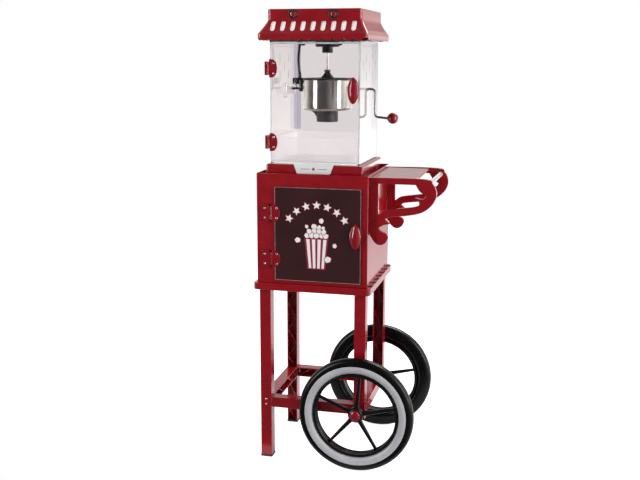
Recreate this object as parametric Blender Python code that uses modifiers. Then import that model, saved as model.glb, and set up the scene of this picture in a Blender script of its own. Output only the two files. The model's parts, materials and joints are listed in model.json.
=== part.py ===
# Popcorn cart: a tabletop corn popper on a two-wheeled stand with a storage cabinet.
# Metres, +Z up, front of the cart towards -Y. The origin is on the floor, under the
# middle of the cart's overall box. "Cart coordinates" below have x = 0 and y = 0 at
# the middle of the cabinet; the empty named cart_frame moves them to the origin.

import math

import bmesh
import bpy
from mathutils import Matrix, Vector

# ---- driving dimensions, in metres -------------------------------------------------

GAP = 0.0003                 # air between pieces that touch
SLIP = 0.0005                # play round a turning pin or shaft

# storage cabinet
CABINET_WIDTH = 0.300
CABINET_DEPTH = 0.303
CABINET_BOTTOM = 0.500
CABINET_HEIGHT = 0.295
SHEET = 0.0025               # cabinet panels and deck
DECK_RECESS = 0.015          # the top deck lies below the rim
LEDGE_OVERHANG = 0.010
LEDGE_HEIGHT = 0.0185
LEDGE_CORNER = 0.012
LEDGE_ROUND = 0.0018
FOOT_VENT_RADIUS = 0.004
FOOT_VENT_COUNT = 5

# cabinet door
DOOR_LEFT_INSET = 0.0505     # door edges inside the cabinet's sides
DOOR_RIGHT_INSET = 0.0172
DOOR_RISE = 0.0105           # door bottom above the cabinet bottom
DOOR_DROP = 0.0345           # door top below the cabinet top
DOOR_SHEET = 0.004
DOOR_LAP = 0.008             # the door laps over its opening
DOOR_HINGE_FROM_EDGE = 0.0096
DOOR_HINGE_DROP = 0.070      # upper hinge centre below the door's top
DOOR_HINGE_RISE = 0.0565     # lower hinge centre above the door's bottom

# legs, rails and wheels
LEG_SIDE = 0.0306
LEG_WALL = 0.0022
LEG_INSET = 0.0040           # leg faces behind the cabinet faces
RIB_PITCH = 0.043
RIB_SHEET = 0.0016
RAIL_BELOW_AXLE = 0.0092     # rail bottom below the axle
RAIL_HEIGHT = 0.0281
SHORT_LEG_DROP = 0.020       # wheel-side legs end this far below the axle
WHEEL_RADIUS = 0.1562
AXLE_FROM_LEG = 0.0038       # axle to the left of the right-hand legs' middle
HALF_TRACK = 0.1675
TYRE_WIDTH = 0.033
TYRE_DEPTH = 0.0409          # bead to tread
RIM_WALL = 0.0066
RIM_WIDTH = 0.029
HUB_RADIUS = 0.021
HUB_HALF_LENGTH = 0.012
SPOKE_COUNT = 5
SPOKE_FIRST_ANGLE = math.radians(85)
SPOKE_ROOT = 0.0054
SPOKE_TIP = 0.0036
AXLE_RADIUS = 0.0050
HUB_CAP_RADIUS = 0.015
HUB_CAP_RISE = 0.0075

# push handle and side shelf
BRACKET_SHEET = 0.010
BRACKET_SETBACK = 0.0185     # bracket face behind the cabinet front
BRACKET_DROP = 0.006         # bracket top below the cabinet rim
BRACKET_REACH = 0.1733
SHELF_SHEET = 0.006
SHELF_REACH = 0.121
BAR_RADIUS = 0.0065
BAR_REACH = 0.150
BAR_DROP = 0.016

# popper base, glass case and tray
BASE_WIDTH = 0.2622
BASE_FRONT = 0.1300          # front face ahead of the cabinet middle
BASE_BACK = 0.1293
BASE_HEIGHT = 0.0370
BASE_WALL = 0.0030
BASE_ROUND = 0.006
LABEL_WIDTH = 0.110
LABEL_HEIGHT = 0.027
LABEL_SHEET = 0.0020
LABEL_DROP = 0.0235          # label bottom below the base top
CASE_WIDTH = 0.239
CASE_FRONT = 0.1225
CASE_BACK = 0.1172
CASE_SHEET = 0.0030
CASE_HEIGHT = 0.3295
VENT_RADIUS = 0.0016
VENT_COUNT = 8
VENT_PITCH = 0.024
VENT_DROP = 0.0245
TRAY_HEIGHT = 0.0705
TRAY_WALL = 0.0020
TRAY_PLAY = 0.0030

# popper door
GLASS_DOOR_RISE = 0.0050
GLASS_DOOR_DROP = 0.0155     # door top below the case top
GLASS_HINGE_DROP = 0.0661    # upper hinge centre below the door top
GLASS_HINGE_SPACING = 0.1914
HINGE_PIN_RADIUS = 0.0028
HINGE_KNUCKLE = 0.018        # the moving leaf's middle knuckle
HINGE_HEIGHT = 0.035
LEAF_HEIGHT = 0.047
LEAF_WIDTH = 0.0215
LEAF_SHEET = 0.0022

# oval pulls
PULL_WIDTH = 0.032
PULL_HEIGHT = 0.068
PULL_RISE = 0.012
GLASS_PULL_X = 0.103
GLASS_PULL_DROP = 0.1215     # below the popper door's top
CABINET_PULL_FROM_EDGE = 0.0128   # pull centre inside the door's right edge
CABINET_PULL_DROP = 0.124    # below the cabinet door's top

# canopy
BAND_WIDTH = 0.2486
BAND_FRONT = 0.1265
BAND_BACK = 0.1351
BAND_TOP_ROUND = 0.003
EAVE_WIDTH = 0.2890
EAVE_FRONT = 0.1530
EAVE_BACK = 0.1520
CANOPY_RISE = 0.0680         # canopy top above the ceiling plate's underside
BAND_HEIGHT = 0.0285
AWNING_HEIGHT = 0.0348
VALANCE_HEIGHT = 0.0160
CANOPY_SHEET = 0.0020
CANOPY_CORNER = 0.009
SCALLOP_COUNT = 10
SCALLOP_DEPTH = 0.0070
SLOT_COUNT = 9
SLOT_PITCH = 0.0266
SLOT_WIDTH = 0.0122
SLOT_HEIGHT = 0.0255
SLOT_LEVEL = 0.58            # slot centres up the awning, as a share of its height
SWITCH_LEFT_X = -0.0561
SWITCH_RIGHT_X = 0.0502
SWITCH_DROP = 0.0134
SWITCH_RADIUS = 0.0077
SWITCH_PLAY = 0.0010
SWITCH_LENGTH = 0.010

# ceiling, motor and drive
CEILING_SHEET = 0.0030
BOSS_RADIUS = 0.0325
BOSS_HEIGHT = 0.0255
MOTOR_RADIUS = 0.022
MOTOR_HEIGHT = 0.045
COUPLER_RADIUS = 0.0145
COUPLER_HEIGHT = 0.0157
COUPLER_STUB = 0.0040
COUPLER_STUB_LENGTH = 0.010
COUPLER_SLOT = 0.0020
GLAND_RADIUS = 0.0065
GLAND_HEIGHT = 0.0090

# kettle
KETTLE_Y = 0.018
PIVOT_ABOVE_BASE = 0.1928    # tilt axis above the popper base's top
KETTLE_RADIUS = 0.0668
KETTLE_WALL = 0.0015
KETTLE_RIM = 0.0240          # rim above the tilt axis
KETTLE_DEPTH = 0.0822
RIM_LIP = 0.0015
LID_SHEET = 0.0040
BRIDGE_HALF = 0.0185
HUB_CONE_HEIGHT = 0.0155
HUB_TOP_RADIUS = 0.0085
HUB_KNOB_HEIGHT = 0.0070
HEATER_RADIUS = 0.0295
HEATER_HEIGHT = 0.0305
HEATER_FLARE = 0.017
STIR_ROD_RADIUS = 0.0025
STIR_ROD_TOP_GAP = 0.0010
STIR_ARM_RADIUS = 0.0018
STIR_ARM_REACH = 0.048
PLUG_SHARE = 0.57            # of the room between the pan and the case wall
PLUG_WIDTH = 0.022
PLUG_HEIGHT = 0.017
PIVOT_PIN_RADIUS = 0.0030
HANGER_SHEET = 0.0040
HANGER_WIDTH = 0.024
HANGER_ARM_SHARE = 0.55      # of the same room
HANGER_NOTCH_SHARE = 0.34
HANGER_DROP = 0.026          # hanger plate below and above the tilt axis
HANGER_RISE = 0.014
CRANK_RADIUS = 0.0025
CRANK_PLAY = 0.0015          # room round the crank in its hole
CRANK_OUTSIDE = 0.0130       # upright part outside the case wall
CRANK_FALL = 0.0740
CRANK_KNOB_OUT = 0.0620
CRANK_KNOB_RADIUS = 0.0150
CABLE_RADIUS = 0.0035
CABLE_FROM_PAN = 0.0085      # the cable enters the plug this far from the pan's side
CABLE_BOW = 0.0040           # the cable bows out this far between its ends

# ---- places worked out from the sizes above ------------------------------------------

half_width = CABINET_WIDTH / 2
half_depth = CABINET_DEPTH / 2
cabinet_top = CABINET_BOTTOM + CABINET_HEIGHT
deck_top = cabinet_top - DECK_RECESS
door_face = -half_depth - GAP - DOOR_SHEET
door_bottom = CABINET_BOTTOM + DOOR_RISE
door_top = cabinet_top - DOOR_DROP
door_left = -half_width + DOOR_LEFT_INSET
door_right = half_width - DOOR_RIGHT_INSET
base_top = deck_top + GAP + BASE_HEIGHT
case_half = CASE_WIDTH / 2
case_bottom = base_top + GAP
case_top = case_bottom + CASE_HEIGHT
ceiling_bottom = case_top + GAP
canopy_top = ceiling_bottom + CANOPY_RISE
glass_door_bottom = base_top + GLASS_DOOR_RISE
glass_door_top = case_top - GLASS_DOOR_DROP
pivot_z = base_top + PIVOT_ABOVE_BASE
kettle_rim_z = pivot_z + KETTLE_RIM
kettle_bottom_z = kettle_rim_z - KETTLE_DEPTH
lid_bottom_z = kettle_rim_z + SLIP
boss_bottom = ceiling_bottom - GAP - BOSS_HEIGHT
coupler_bottom = boss_bottom - GAP - COUPLER_HEIGHT
tyre_bore = WHEEL_RADIUS - TYRE_DEPTH
leg_top = CABINET_BOTTOM - SHEET - GAP
leg_x = half_width - LEG_INSET - LEG_SIDE / 2
wheel_x = leg_x - AXLE_FROM_LEG
leg_y = half_depth - LEG_INSET - LEG_SIDE / 2 - 0.001
rail_z = WHEEL_RADIUS - RAIL_BELOW_AXLE + RAIL_HEIGHT / 2
overall_left = -half_width - LEDGE_OVERHANG
overall_right = half_width + BRACKET_REACH
frame_shift = -(overall_left + overall_right) / 2

TURN_X = (0, math.radians(90), 0)          # local z lies along x
TURN_Y = (math.radians(-90), 0, 0)         # local z lies along y
STAND_XZ = (math.radians(90), 0, 0)        # an outline drawn in x, z
STAND_YZ = (math.radians(90), 0, math.radians(90))   # an outline drawn in y, z
FLAT = (0, 0, 0)

# ---- scene, collections and paints --------------------------------------------------

for old_object in list(bpy.data.objects):
    bpy.data.objects.remove(old_object, do_unlink=True)

parts = bpy.data.collections.new("popcorn_cart")
cutters = bpy.data.collections.new("cutters")
bpy.context.scene.collection.children.link(parts)
bpy.context.scene.collection.children.link(cutters)


def paint(name, colour, roughness, metallic=0.0, clear=0.0):
    material = bpy.data.materials.new(name)
    material.use_nodes = True
    shader = material.node_tree.nodes["Principled BSDF"]
    shader.inputs["Base Color"].default_value = (*colour, 1.0)
    shader.inputs["Roughness"].default_value = roughness
    shader.inputs["Metallic"].default_value = metallic
    shader.inputs["Transmission Weight"].default_value = clear
    material.diffuse_color = (*colour, 1.0)
    return material


red_enamel = paint("red_enamel", (0.30, 0.008, 0.015), 0.25)
red_plastic = paint("red_plastic", (0.36, 0.008, 0.018), 0.22)
dark_plastic = paint("dark_plastic", (0.045, 0.045, 0.048), 0.45)
tyre_rubber = paint("tyre_rubber", (0.012, 0.012, 0.014), 0.55)
steel = paint("steel", (0.62, 0.62, 0.60), 0.22, metallic=1.0)
clear_acrylic = paint("clear_acrylic", (0.92, 0.93, 0.95), 0.04, clear=1.0)
smoked_acrylic = paint("smoked_acrylic", (0.045, 0.018, 0.022), 0.12)
label_white = paint("label_white", (0.85, 0.85, 0.85), 0.35)
cable_rubber = paint("cable_rubber", (0.03, 0.03, 0.032), 0.5)


def empty(name, location, parent=None):
    marker = bpy.data.objects.new(name, None)
    marker.empty_display_size = 0.02
    marker.location = location
    marker.parent = parent
    parts.objects.link(marker)
    return marker


cart_frame = empty("cart_frame", (frame_shift, 0, 0))


def pivot(name, location, parent=cart_frame):
    """An empty on a joint's axis, in cart coordinates."""
    marker = empty(name, location, cart_frame)
    if parent is not cart_frame:
        marker.parent = parent
        marker.matrix_parent_inverse = Matrix.Translation(-Vector(parent["cart_place"]))
    marker["cart_place"] = location
    return marker


def place(obj, location, rotation, material, parent):
    """Put an object at a cart coordinate, and hang it on the cart or on a pivot."""
    obj.location = location
    obj.rotation_euler = rotation
    obj.parent = parent
    if "cart_place" in parent:
        obj.matrix_parent_inverse = Matrix.Translation(-Vector(parent["cart_place"]))
    if material is None:
        cutters.objects.link(obj)
        obj.hide_render = True
        obj.display_type = "WIRE"
    else:
        parts.objects.link(obj)
        obj.data.materials.append(material)
    return obj


# ---- basic shapes; a shape without a material is a cutter ----------------------------


def mesh_object(name, bm):
    mesh = bpy.data.meshes.new(name)
    bm.to_mesh(mesh)
    bm.free()
    return bpy.data.objects.new(name, mesh)


def smooth(obj, angle=35):
    obj.data.shade_smooth()
    obj.data.set_sharp_from_angle(angle=math.radians(angle))


def round_edges(obj, width, segments=2):
    bevel = obj.modifiers.new("rounded", "BEVEL")
    bevel.width = width
    bevel.segments = segments
    bevel.limit_method = "ANGLE"
    return bevel


def box(name, x, y, z, material=None, parent=cart_frame, rounded=0.0, segments=2):
    """A block between two x, two y and two z values."""
    bm = bmesh.new()
    size = Matrix.Diagonal((x[1] - x[0], y[1] - y[0], z[1] - z[0], 1))
    bmesh.ops.create_cube(bm, size=1.0, matrix=size)
    obj = mesh_object(name, bm)
    middle = ((x[0] + x[1]) / 2, (y[0] + y[1]) / 2, (z[0] + z[1]) / 2)
    place(obj, middle, FLAT, material, parent)
    if rounded > 0:
        round_edges(obj, rounded, segments)
    return obj


def rod(name, radius, length, middle, turn=FLAT, material=None, parent=cart_frame, sides=24):
    """A cylinder along its local z."""
    bm = bmesh.new()
    bmesh.ops.create_cone(bm, cap_ends=True, segments=sides, radius1=radius,
                          radius2=radius, depth=length)
    obj = mesh_object(name, bm)
    smooth(obj)
    return place(obj, middle, turn, material, parent)


def rods(name, radius, length, middles, turn, sides=8):
    """One cutter made of several equal, separate cylinders."""
    bm = bmesh.new()
    spin = Matrix.Rotation(turn[0], 4, "X") @ Matrix.Rotation(turn[1], 4, "Y")
    for middle in middles:
        where = Matrix.Translation(middle) @ spin
        bmesh.ops.create_cone(bm, cap_ends=True, segments=sides, radius1=radius,
                              radius2=radius, depth=length, matrix=where)
    return place(mesh_object(name, bm), (0, 0, 0), FLAT, None, cart_frame)


def slots(name, width, height, length, middles, turn):
    """One cutter made of several upright slots with round ends."""
    bm = bmesh.new()
    spin = Matrix.Rotation(turn[0], 4, "X") @ Matrix.Rotation(turn[1], 4, "Y")
    half_turn_of_side = Matrix.Rotation(math.radians(22.5), 4, "Z")
    for middle in middles:
        where = spin @ half_turn_of_side
        made = bmesh.ops.create_cone(bm, cap_ends=True, segments=8, radius1=width / 2,
                                     radius2=width / 2, depth=length, matrix=where)
        for vert in made["verts"]:
            vert.co.z += math.copysign((height - width) / 2, vert.co.z)
            vert.co += Vector(middle)
    return place(mesh_object(name, bm), (0, 0, 0), FLAT, None, cart_frame)


def turned(name, profile, middle, turn=FLAT, material=None, parent=cart_frame,
           steps=32, ring=False):
    """A profile of (radius, height) points turned round the local z axis."""
    bm = bmesh.new()
    points = [bm.verts.new((radius, 0, height)) for radius, height in profile]
    for start, end in zip(points, points[1:]):
        bm.edges.new((start, end))
    if ring:
        bm.edges.new((points[-1], points[0]))
    obj = mesh_object(name, bm)
    screw = obj.modifiers.new("turned", "SCREW")
    screw.steps = steps
    screw.render_steps = steps
    screw.use_merge_vertices = True
    screw.merge_threshold = 0.00001
    screw.use_smooth_shade = True
    return place(obj, middle, turn, material, parent)


def tube(name, points, radius, material, parent=cart_frame, resolution=2):
    """A round wire through the points."""
    curve = bpy.data.curves.new(name, "CURVE")
    curve.dimensions = "3D"
    curve.bevel_depth = radius
    curve.bevel_resolution = resolution
    curve.use_fill_caps = True
    spline = curve.splines.new("POLY")
    spline.points.add(len(points) - 1)
    for point, target in zip(spline.points, points):
        point.co = (*target, 1)
    return place(bpy.data.objects.new(name, curve), (0, 0, 0), FLAT, material, parent)


def outline(name, loops, thickness, middle, turn, material=None, parent=cart_frame):
    """A flat plate inside closed loops of points, as a mesh; later loops are holes."""
    curve = bpy.data.curves.new(name, "CURVE")
    curve.dimensions = "2D"
    curve.fill_mode = "BOTH"
    curve.extrude = thickness / 2
    for loop in loops:
        spline = curve.splines.new("POLY")
        spline.points.add(len(loop) - 1)
        spline.use_cyclic_u = True
        for point, target in zip(spline.points, loop):
            point.co = (target[0], target[1], 0, 1)
    drawing = bpy.data.objects.new(name + "_drawing", curve)
    parts.objects.link(drawing)
    graph = bpy.context.evaluated_depsgraph_get()
    mesh = bpy.data.meshes.new_from_object(drawing.evaluated_get(graph))
    bpy.data.objects.remove(drawing, do_unlink=True)
    bm = bmesh.new()
    bm.from_mesh(mesh)
    bmesh.ops.remove_doubles(bm, verts=bm.verts, dist=0.00001)
    bm.to_mesh(mesh)
    bm.free()
    mesh.name = name
    return place(bpy.data.objects.new(name, mesh), middle, turn, material, parent)


def boolean(obj, operation, other):
    modifier = obj.modifiers.new(operation.lower(), "BOOLEAN")
    modifier.operation = operation
    modifier.solver = "EXACT"
    modifier.object = other
    return obj


def cut(obj, *tools):
    for tool in tools:
        boolean(obj, "DIFFERENCE", tool)
    return obj


def join(obj, *others):
    for other in others:
        boolean(obj, "UNION", other)
    return obj


# ---- outlines ------------------------------------------------------------------------


def arc(centre, radius, start, end, steps, stretch=1.0):
    """Points from angle start to angle end, in degrees; stretch is along the second axis."""
    angles = [math.radians(start + (end - start) * i / steps) for i in range(steps + 1)]
    return [(centre[0] + radius * math.cos(a), centre[1] + radius * stretch * math.sin(a))
            for a in angles]


def rounded_rectangle(half_x, low_y, high_y, radius, steps):
    """Corner arcs joined into one loop, anticlockwise."""
    points = []
    corners = ((half_x, low_y, -90), (half_x, high_y, 0),
               (-half_x, high_y, 90), (-half_x, low_y, 180))
    for x, y, start in corners:
        centre = (x - math.copysign(radius, x), y - math.copysign(radius, y))
        points += arc(centre, radius, start, start + 90, steps)
    return points


def smooth_loop(points, steps):
    """A closed curve through (x, y, corner) points; it is straight beside corners."""
    count = len(points)
    path = []
    for i in range(count):
        here, after = points[i], points[(i + 1) % count]
        before, beyond = points[i - 1], points[(i + 2) % count]
        if here[2] and after[2]:
            path.append(here[:2])
            continue
        leave = [(after[k] - before[k]) / 2 for k in (0, 1)]
        arrive = [(beyond[k] - here[k]) / 2 for k in (0, 1)]
        if here[2]:
            leave = [after[k] - here[k] for k in (0, 1)]
        if after[2]:
            arrive = [after[k] - here[k] for k in (0, 1)]
        for step in range(steps):
            t = step / steps
            path.append(tuple(
                here[k] * (2 * t ** 3 - 3 * t ** 2 + 1) + after[k] * (3 * t ** 2 - 2 * t ** 3)
                + leave[k] * (t ** 3 - 2 * t ** 2 + t) + arrive[k] * (t ** 3 - t ** 2)
                for k in (0, 1)))
    return path


def bent_path(points, radius, steps=4):
    """A path of straight runs whose bends are rounded to the given radius."""
    path = [Vector(points[0])]
    for before, bend, after in zip(points, points[1:], points[2:]):
        back = (Vector(before) - Vector(bend)).normalized()
        ahead = (Vector(after) - Vector(bend)).normalized()
        reach = radius / math.tan(back.angle(ahead) / 2)
        start, end = Vector(bend) + back * reach, Vector(bend) + ahead * reach
        for i in range(steps + 1):
            t = i / steps
            path.append(start * (1 - t) ** 2 + Vector(bend) * 2 * t * (1 - t) + end * t ** 2)
    path.append(Vector(points[-1]))
    return path


def disc_slice(radius, low, high, steps):
    """The part of a disc between two heights, as a loop."""
    right = math.degrees(math.asin(low / radius))
    top = math.degrees(math.asin(high / radius))
    return arc((0, 0), radius, right, top, steps) + arc((0, 0), radius, 180 - top,
                                                        180 - right, steps)


# ---- storage cabinet -----------------------------------------------------------------


def build_cabinet():
    inner_x = half_width - SHEET - GAP
    inner_y = half_depth - SHEET - GAP
    top = cabinet_top
    bottom = CABINET_BOTTOM + GAP
    vent_pitch = CABINET_DEPTH * 0.88 / FOOT_VENT_COUNT
    vent_rows = [(i - (FOOT_VENT_COUNT - 1) / 2) * vent_pitch for i in range(FOOT_VENT_COUNT)]
    vents = rods("foot_vents", FOOT_VENT_RADIUS, CABINET_WIDTH * 1.1,
                 [(0, y, CABINET_BOTTOM + FOOT_VENT_RADIUS * 1.5) for y in vent_rows], TURN_X)
    for side, name in ((-1, "cabinet_left_panel"), (1, "cabinet_right_panel")):
        wall = sorted((side * half_width, side * (half_width - SHEET)))
        panel = box(name, wall, (-inner_y, half_depth), (bottom, top), red_enamel)
        cut(panel, vents)
    box("cabinet_rear_panel", (-inner_x, inner_x), (half_depth - SHEET, half_depth),
        (bottom, top), red_enamel)
    front = box("cabinet_front_frame", (-half_width, half_width),
                (-half_depth, -half_depth + SHEET), (bottom, top), red_enamel)
    cut(front, box("door_opening", (door_left + DOOR_LAP, door_right - DOOR_LAP),
                   (-half_depth - 0.01, -half_depth + 0.01),
                   (door_bottom + DOOR_LAP, door_top - DOOR_LAP)))
    box("cabinet_top_deck", (-inner_x, inner_x), (-inner_y, inner_y),
        (deck_top - SHEET, deck_top), red_enamel)
    ledge_x = half_width + LEDGE_OVERHANG
    ledge_y = half_depth + LEDGE_OVERHANG
    ledge = outline("cabinet_floor_tray",
                    [rounded_rectangle(ledge_x, -ledge_y, ledge_y, LEDGE_CORNER, 4)],
                    LEDGE_HEIGHT, (0, 0, CABINET_BOTTOM - LEDGE_HEIGHT / 2), FLAT, red_enamel)
    round_edges(ledge, LEDGE_ROUND, 2)
    inner = rounded_rectangle(ledge_x - SHEET, -ledge_y + SHEET, ledge_y - SHEET,
                              LEDGE_CORNER - SHEET, 4)
    cut(ledge, outline("floor_tray_inside", [inner], LEDGE_HEIGHT * 2,
                       (0, 0, CABINET_BOTTOM - SHEET - LEDGE_HEIGHT), FLAT))


# ---- doors, hinges and pulls ---------------------------------------------------------


def half_oval(width, height, steps=6):
    """A leaf whose straight edge is at x = 0 and whose free edge is half an oval."""
    corner = width * 0.35
    return ([(0, -height / 2), (corner, -height / 2)]
            + arc((corner, 0), width - corner, -75, 75, steps, (height / 2) / (width - corner))
            + [(corner, height / 2), (0, height / 2)])


def oval_pull(name, x, face, z, parent):
    """A domed oval pull on a door whose front face is at y = face."""
    rise = PULL_RISE
    half = PULL_WIDTH / 2
    profile = [(0, rise), (half * 0.45, rise * 0.93), (half * 0.8, rise * 0.68),
               (half, rise * 0.30), (half * 0.97, rise * 0.08), (half * 0.85, 0), (0, 0)]
    pull = turned(name, profile, (x, face - GAP, z), STAND_XZ, red_plastic, parent, steps=24)
    pull.scale = (1, PULL_HEIGHT / PULL_WIDTH, 1)
    return pull


def knuckle(name, axis, low, high, radius, material=None, parent=cart_frame):
    return rod(name, radius, high - low, (axis[0], axis[1], (low + high) / 2), FLAT,
               material, parent, sides=12)


def moving_leaf(name, axis, z, face, parent):
    """The half-oval leaf on a door's face, with the middle knuckle of its hinge."""
    start = axis[0] + HINGE_PIN_RADIUS + SLIP
    front = face - GAP - LEAF_SHEET
    leaf = outline(name, [half_oval(LEAF_WIDTH, LEAF_HEIGHT)], LEAF_SHEET,
                   (start, face - GAP - LEAF_SHEET / 2, z), STAND_XZ, red_plastic, parent)
    half = HINGE_KNUCKLE / 2
    web = box(name + "_web", (axis[0], start + LEAF_SHEET), (front, face - GAP - 0.0002),
              (z - half * 0.9, z + half * 0.9), None, parent)
    barrel = knuckle(name + "_barrel", axis, z - half, z + half, HINGE_PIN_RADIUS, None, parent)
    return join(leaf, web, barrel)


def fixed_leaf(name, axis, z, body, arm):
    """The leaf that stays: its body box, an arm box beside the axis and two knuckles."""
    leaf = box(name, *body, red_plastic)
    join(leaf, box(name + "_arm", *arm))
    for side in (-1, 1):
        near = z + side * (HINGE_KNUCKLE / 2 + SLIP)
        far = z + side * HINGE_HEIGHT / 2
        low, high = min(near, far), max(near, far)
        web = box(name + "_end", (arm[0][1] - 0.001, axis[0]),
                  (axis[1] - HINGE_PIN_RADIUS * 0.8, axis[1] + HINGE_PIN_RADIUS * 0.8),
                  (low, high))
        join(leaf, web, knuckle(name + "_knuckle", axis, low, high, HINGE_PIN_RADIUS))
    return leaf


def build_cabinet_door():
    axis = (door_left - DOOR_HINGE_FROM_EDGE, door_face - LEAF_SHEET / 2 - GAP)
    swing = pivot("cabinet_door_axis", (*axis, door_bottom))
    box("cabinet_door_panel", (door_left, door_right), (door_face, -half_depth - GAP),
        (door_bottom, door_top), smoked_acrylic, swing, rounded=0.0006, segments=1)
    oval_pull("cabinet_door_pull", door_right - CABINET_PULL_FROM_EDGE, door_face,
              door_top - CABINET_PULL_DROP, swing)
    clear = axis[0] - HINGE_PIN_RADIUS - SLIP
    for name, z in (("upper", door_top - DOOR_HINGE_DROP),
                    ("lower", door_bottom + DOOR_HINGE_RISE)):
        moving_leaf("cabinet_hinge_" + name + "_door_leaf", axis, z, door_face, swing)
        outer = clear - LEAF_WIDTH
        front = door_face - GAP - LEAF_SHEET
        tall = (z - LEAF_HEIGHT / 2, z + LEAF_HEIGHT / 2)
        short = (z - HINGE_HEIGHT / 2, z + HINGE_HEIGHT / 2)
        fixed_leaf("cabinet_hinge_" + name + "_frame_leaf", axis, z,
                   ((outer, clear - 0.003), (front, -half_depth - GAP), tall),
                   ((clear - 0.006, clear), (front - 0.0004, -half_depth - 2 * GAP), short))


def build_glass_door():
    front = -CASE_FRONT
    axis = (-case_half - HINGE_PIN_RADIUS - 0.0022, front - GAP - LEAF_SHEET)
    swing = pivot("glass_door_axis", (*axis, glass_door_bottom))
    box("glass_door_panel", (-case_half, case_half), (front, front + CASE_SHEET),
        (glass_door_bottom, glass_door_top), clear_acrylic, swing, rounded=0.0006, segments=1)
    oval_pull("glass_door_pull", GLASS_PULL_X, front, glass_door_top - GLASS_PULL_DROP, swing)
    clear = axis[0] - HINGE_PIN_RADIUS - SLIP
    upper = glass_door_top - GLASS_HINGE_DROP
    for name, z in (("upper", upper), ("lower", upper - GLASS_HINGE_SPACING)):
        moving_leaf("glass_hinge_" + name + "_door_leaf", axis, z, front, swing)
        tall = (z - HINGE_HEIGHT / 2, z + HINGE_HEIGHT / 2)
        pad_front = front + CASE_SHEET + 0.002
        fixed_leaf("glass_hinge_" + name + "_case_leaf", axis, z,
                   ((clear - 0.005, -case_half - GAP), (pad_front, pad_front + 0.018), tall),
                   ((clear - 0.0048, clear), (axis[1] - HINGE_PIN_RADIUS, pad_front + 0.002),
                    (tall[0] + 0.0002, tall[1] - 0.0002)))


# ---- legs, rails and wheels ------------------------------------------------------------


def channel(name, length, middle, turn, height=LEG_SIDE):
    """A channel along local z, open towards local +y, with a zigzag of ribs inside."""
    half_x, half_y = height / 2, LEG_SIDE / 2
    bm = bmesh.new()
    bmesh.ops.create_cube(bm, size=1.0, matrix=Matrix.Diagonal((height, LEG_SIDE, length, 1)))
    beam = place(mesh_object(name, bm), middle, turn, red_enamel, cart_frame)
    bm = bmesh.new()
    hollow = Matrix.Translation((0, LEG_WALL, 0)) @ Matrix.Diagonal(
        (height - 2 * LEG_WALL, LEG_SIDE, length * 1.2, 1))
    bmesh.ops.create_cube(bm, size=1.0, matrix=hollow)
    inside = place(mesh_object(name + "_inside", bm), middle, turn, None, cart_frame)
    bays = max(2, round(length / RIB_PITCH))
    inset = RIB_SHEET
    reach = half_x - LEG_WALL / 2
    bm = bmesh.new()
    line = []
    for i in range(bays + 1):
        along = -length / 2 + inset + (length - 2 * inset) * i / bays
        line.append(bm.verts.new((reach if i % 2 else -reach, -half_y + LEG_WALL / 2, along)))
    edges = [bm.edges.new(pair) for pair in zip(line, line[1:])]
    swept = bmesh.ops.extrude_edge_only(bm, edges=edges)
    for item in swept["geom"]:
        if isinstance(item, bmesh.types.BMVert):
            item.co.y = half_y * 0.7
    ribs = place(mesh_object(name + "_ribs", bm), middle, turn, None, cart_frame)
    wall = ribs.modifiers.new("sheet", "SOLIDIFY")
    wall.thickness = RIB_SHEET
    wall.offset = 0
    cut(beam, inside)
    join(beam, ribs)
    return beam


def build_stand():
    quarter = math.radians(90)
    short_bottom = WHEEL_RADIUS - SHORT_LEG_DROP
    bore = rod("axle_bore", AXLE_RADIUS + GAP, 2 * half_depth, (wheel_x, 0, WHEEL_RADIUS),
               TURN_Y, sides=16)
    for y, turn, row in ((-leg_y, 0, "front"), (leg_y, 2 * quarter, "rear")):
        for x, bottom, side in ((-leg_x, 0.0, "left"), (leg_x, short_bottom, "right")):
            leg = channel(row + "_" + side + "_leg", leg_top - bottom,
                          (x, y, (leg_top + bottom) / 2), (0, 0, turn))
            if side == "right":
                cut(leg, bore)
    run_x = 2 * leg_x - LEG_SIDE - 2 * GAP
    run_y = 2 * leg_y - LEG_SIDE - 2 * GAP
    channel("front_rail", run_x, (0, -leg_y, rail_z), (0, quarter, 0), RAIL_HEIGHT)
    channel("rear_rail", run_x, (0, leg_y, rail_z), (0, quarter, 2 * quarter), RAIL_HEIGHT)
    channel("left_rail", run_y, (-leg_x, 0, rail_z), (0, quarter, -quarter), RAIL_HEIGHT)
    right = channel("right_rail", run_y, (leg_x, 0, rail_z), (0, quarter, quarter), RAIL_HEIGHT)
    cut(right, bore)
    axle_half = HALF_TRACK + HUB_HALF_LENGTH - 0.001
    rod("axle", AXLE_RADIUS, 2 * axle_half, (wheel_x, 0, WHEEL_RADIUS), TURN_Y, steel,
        sides=16)


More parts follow.
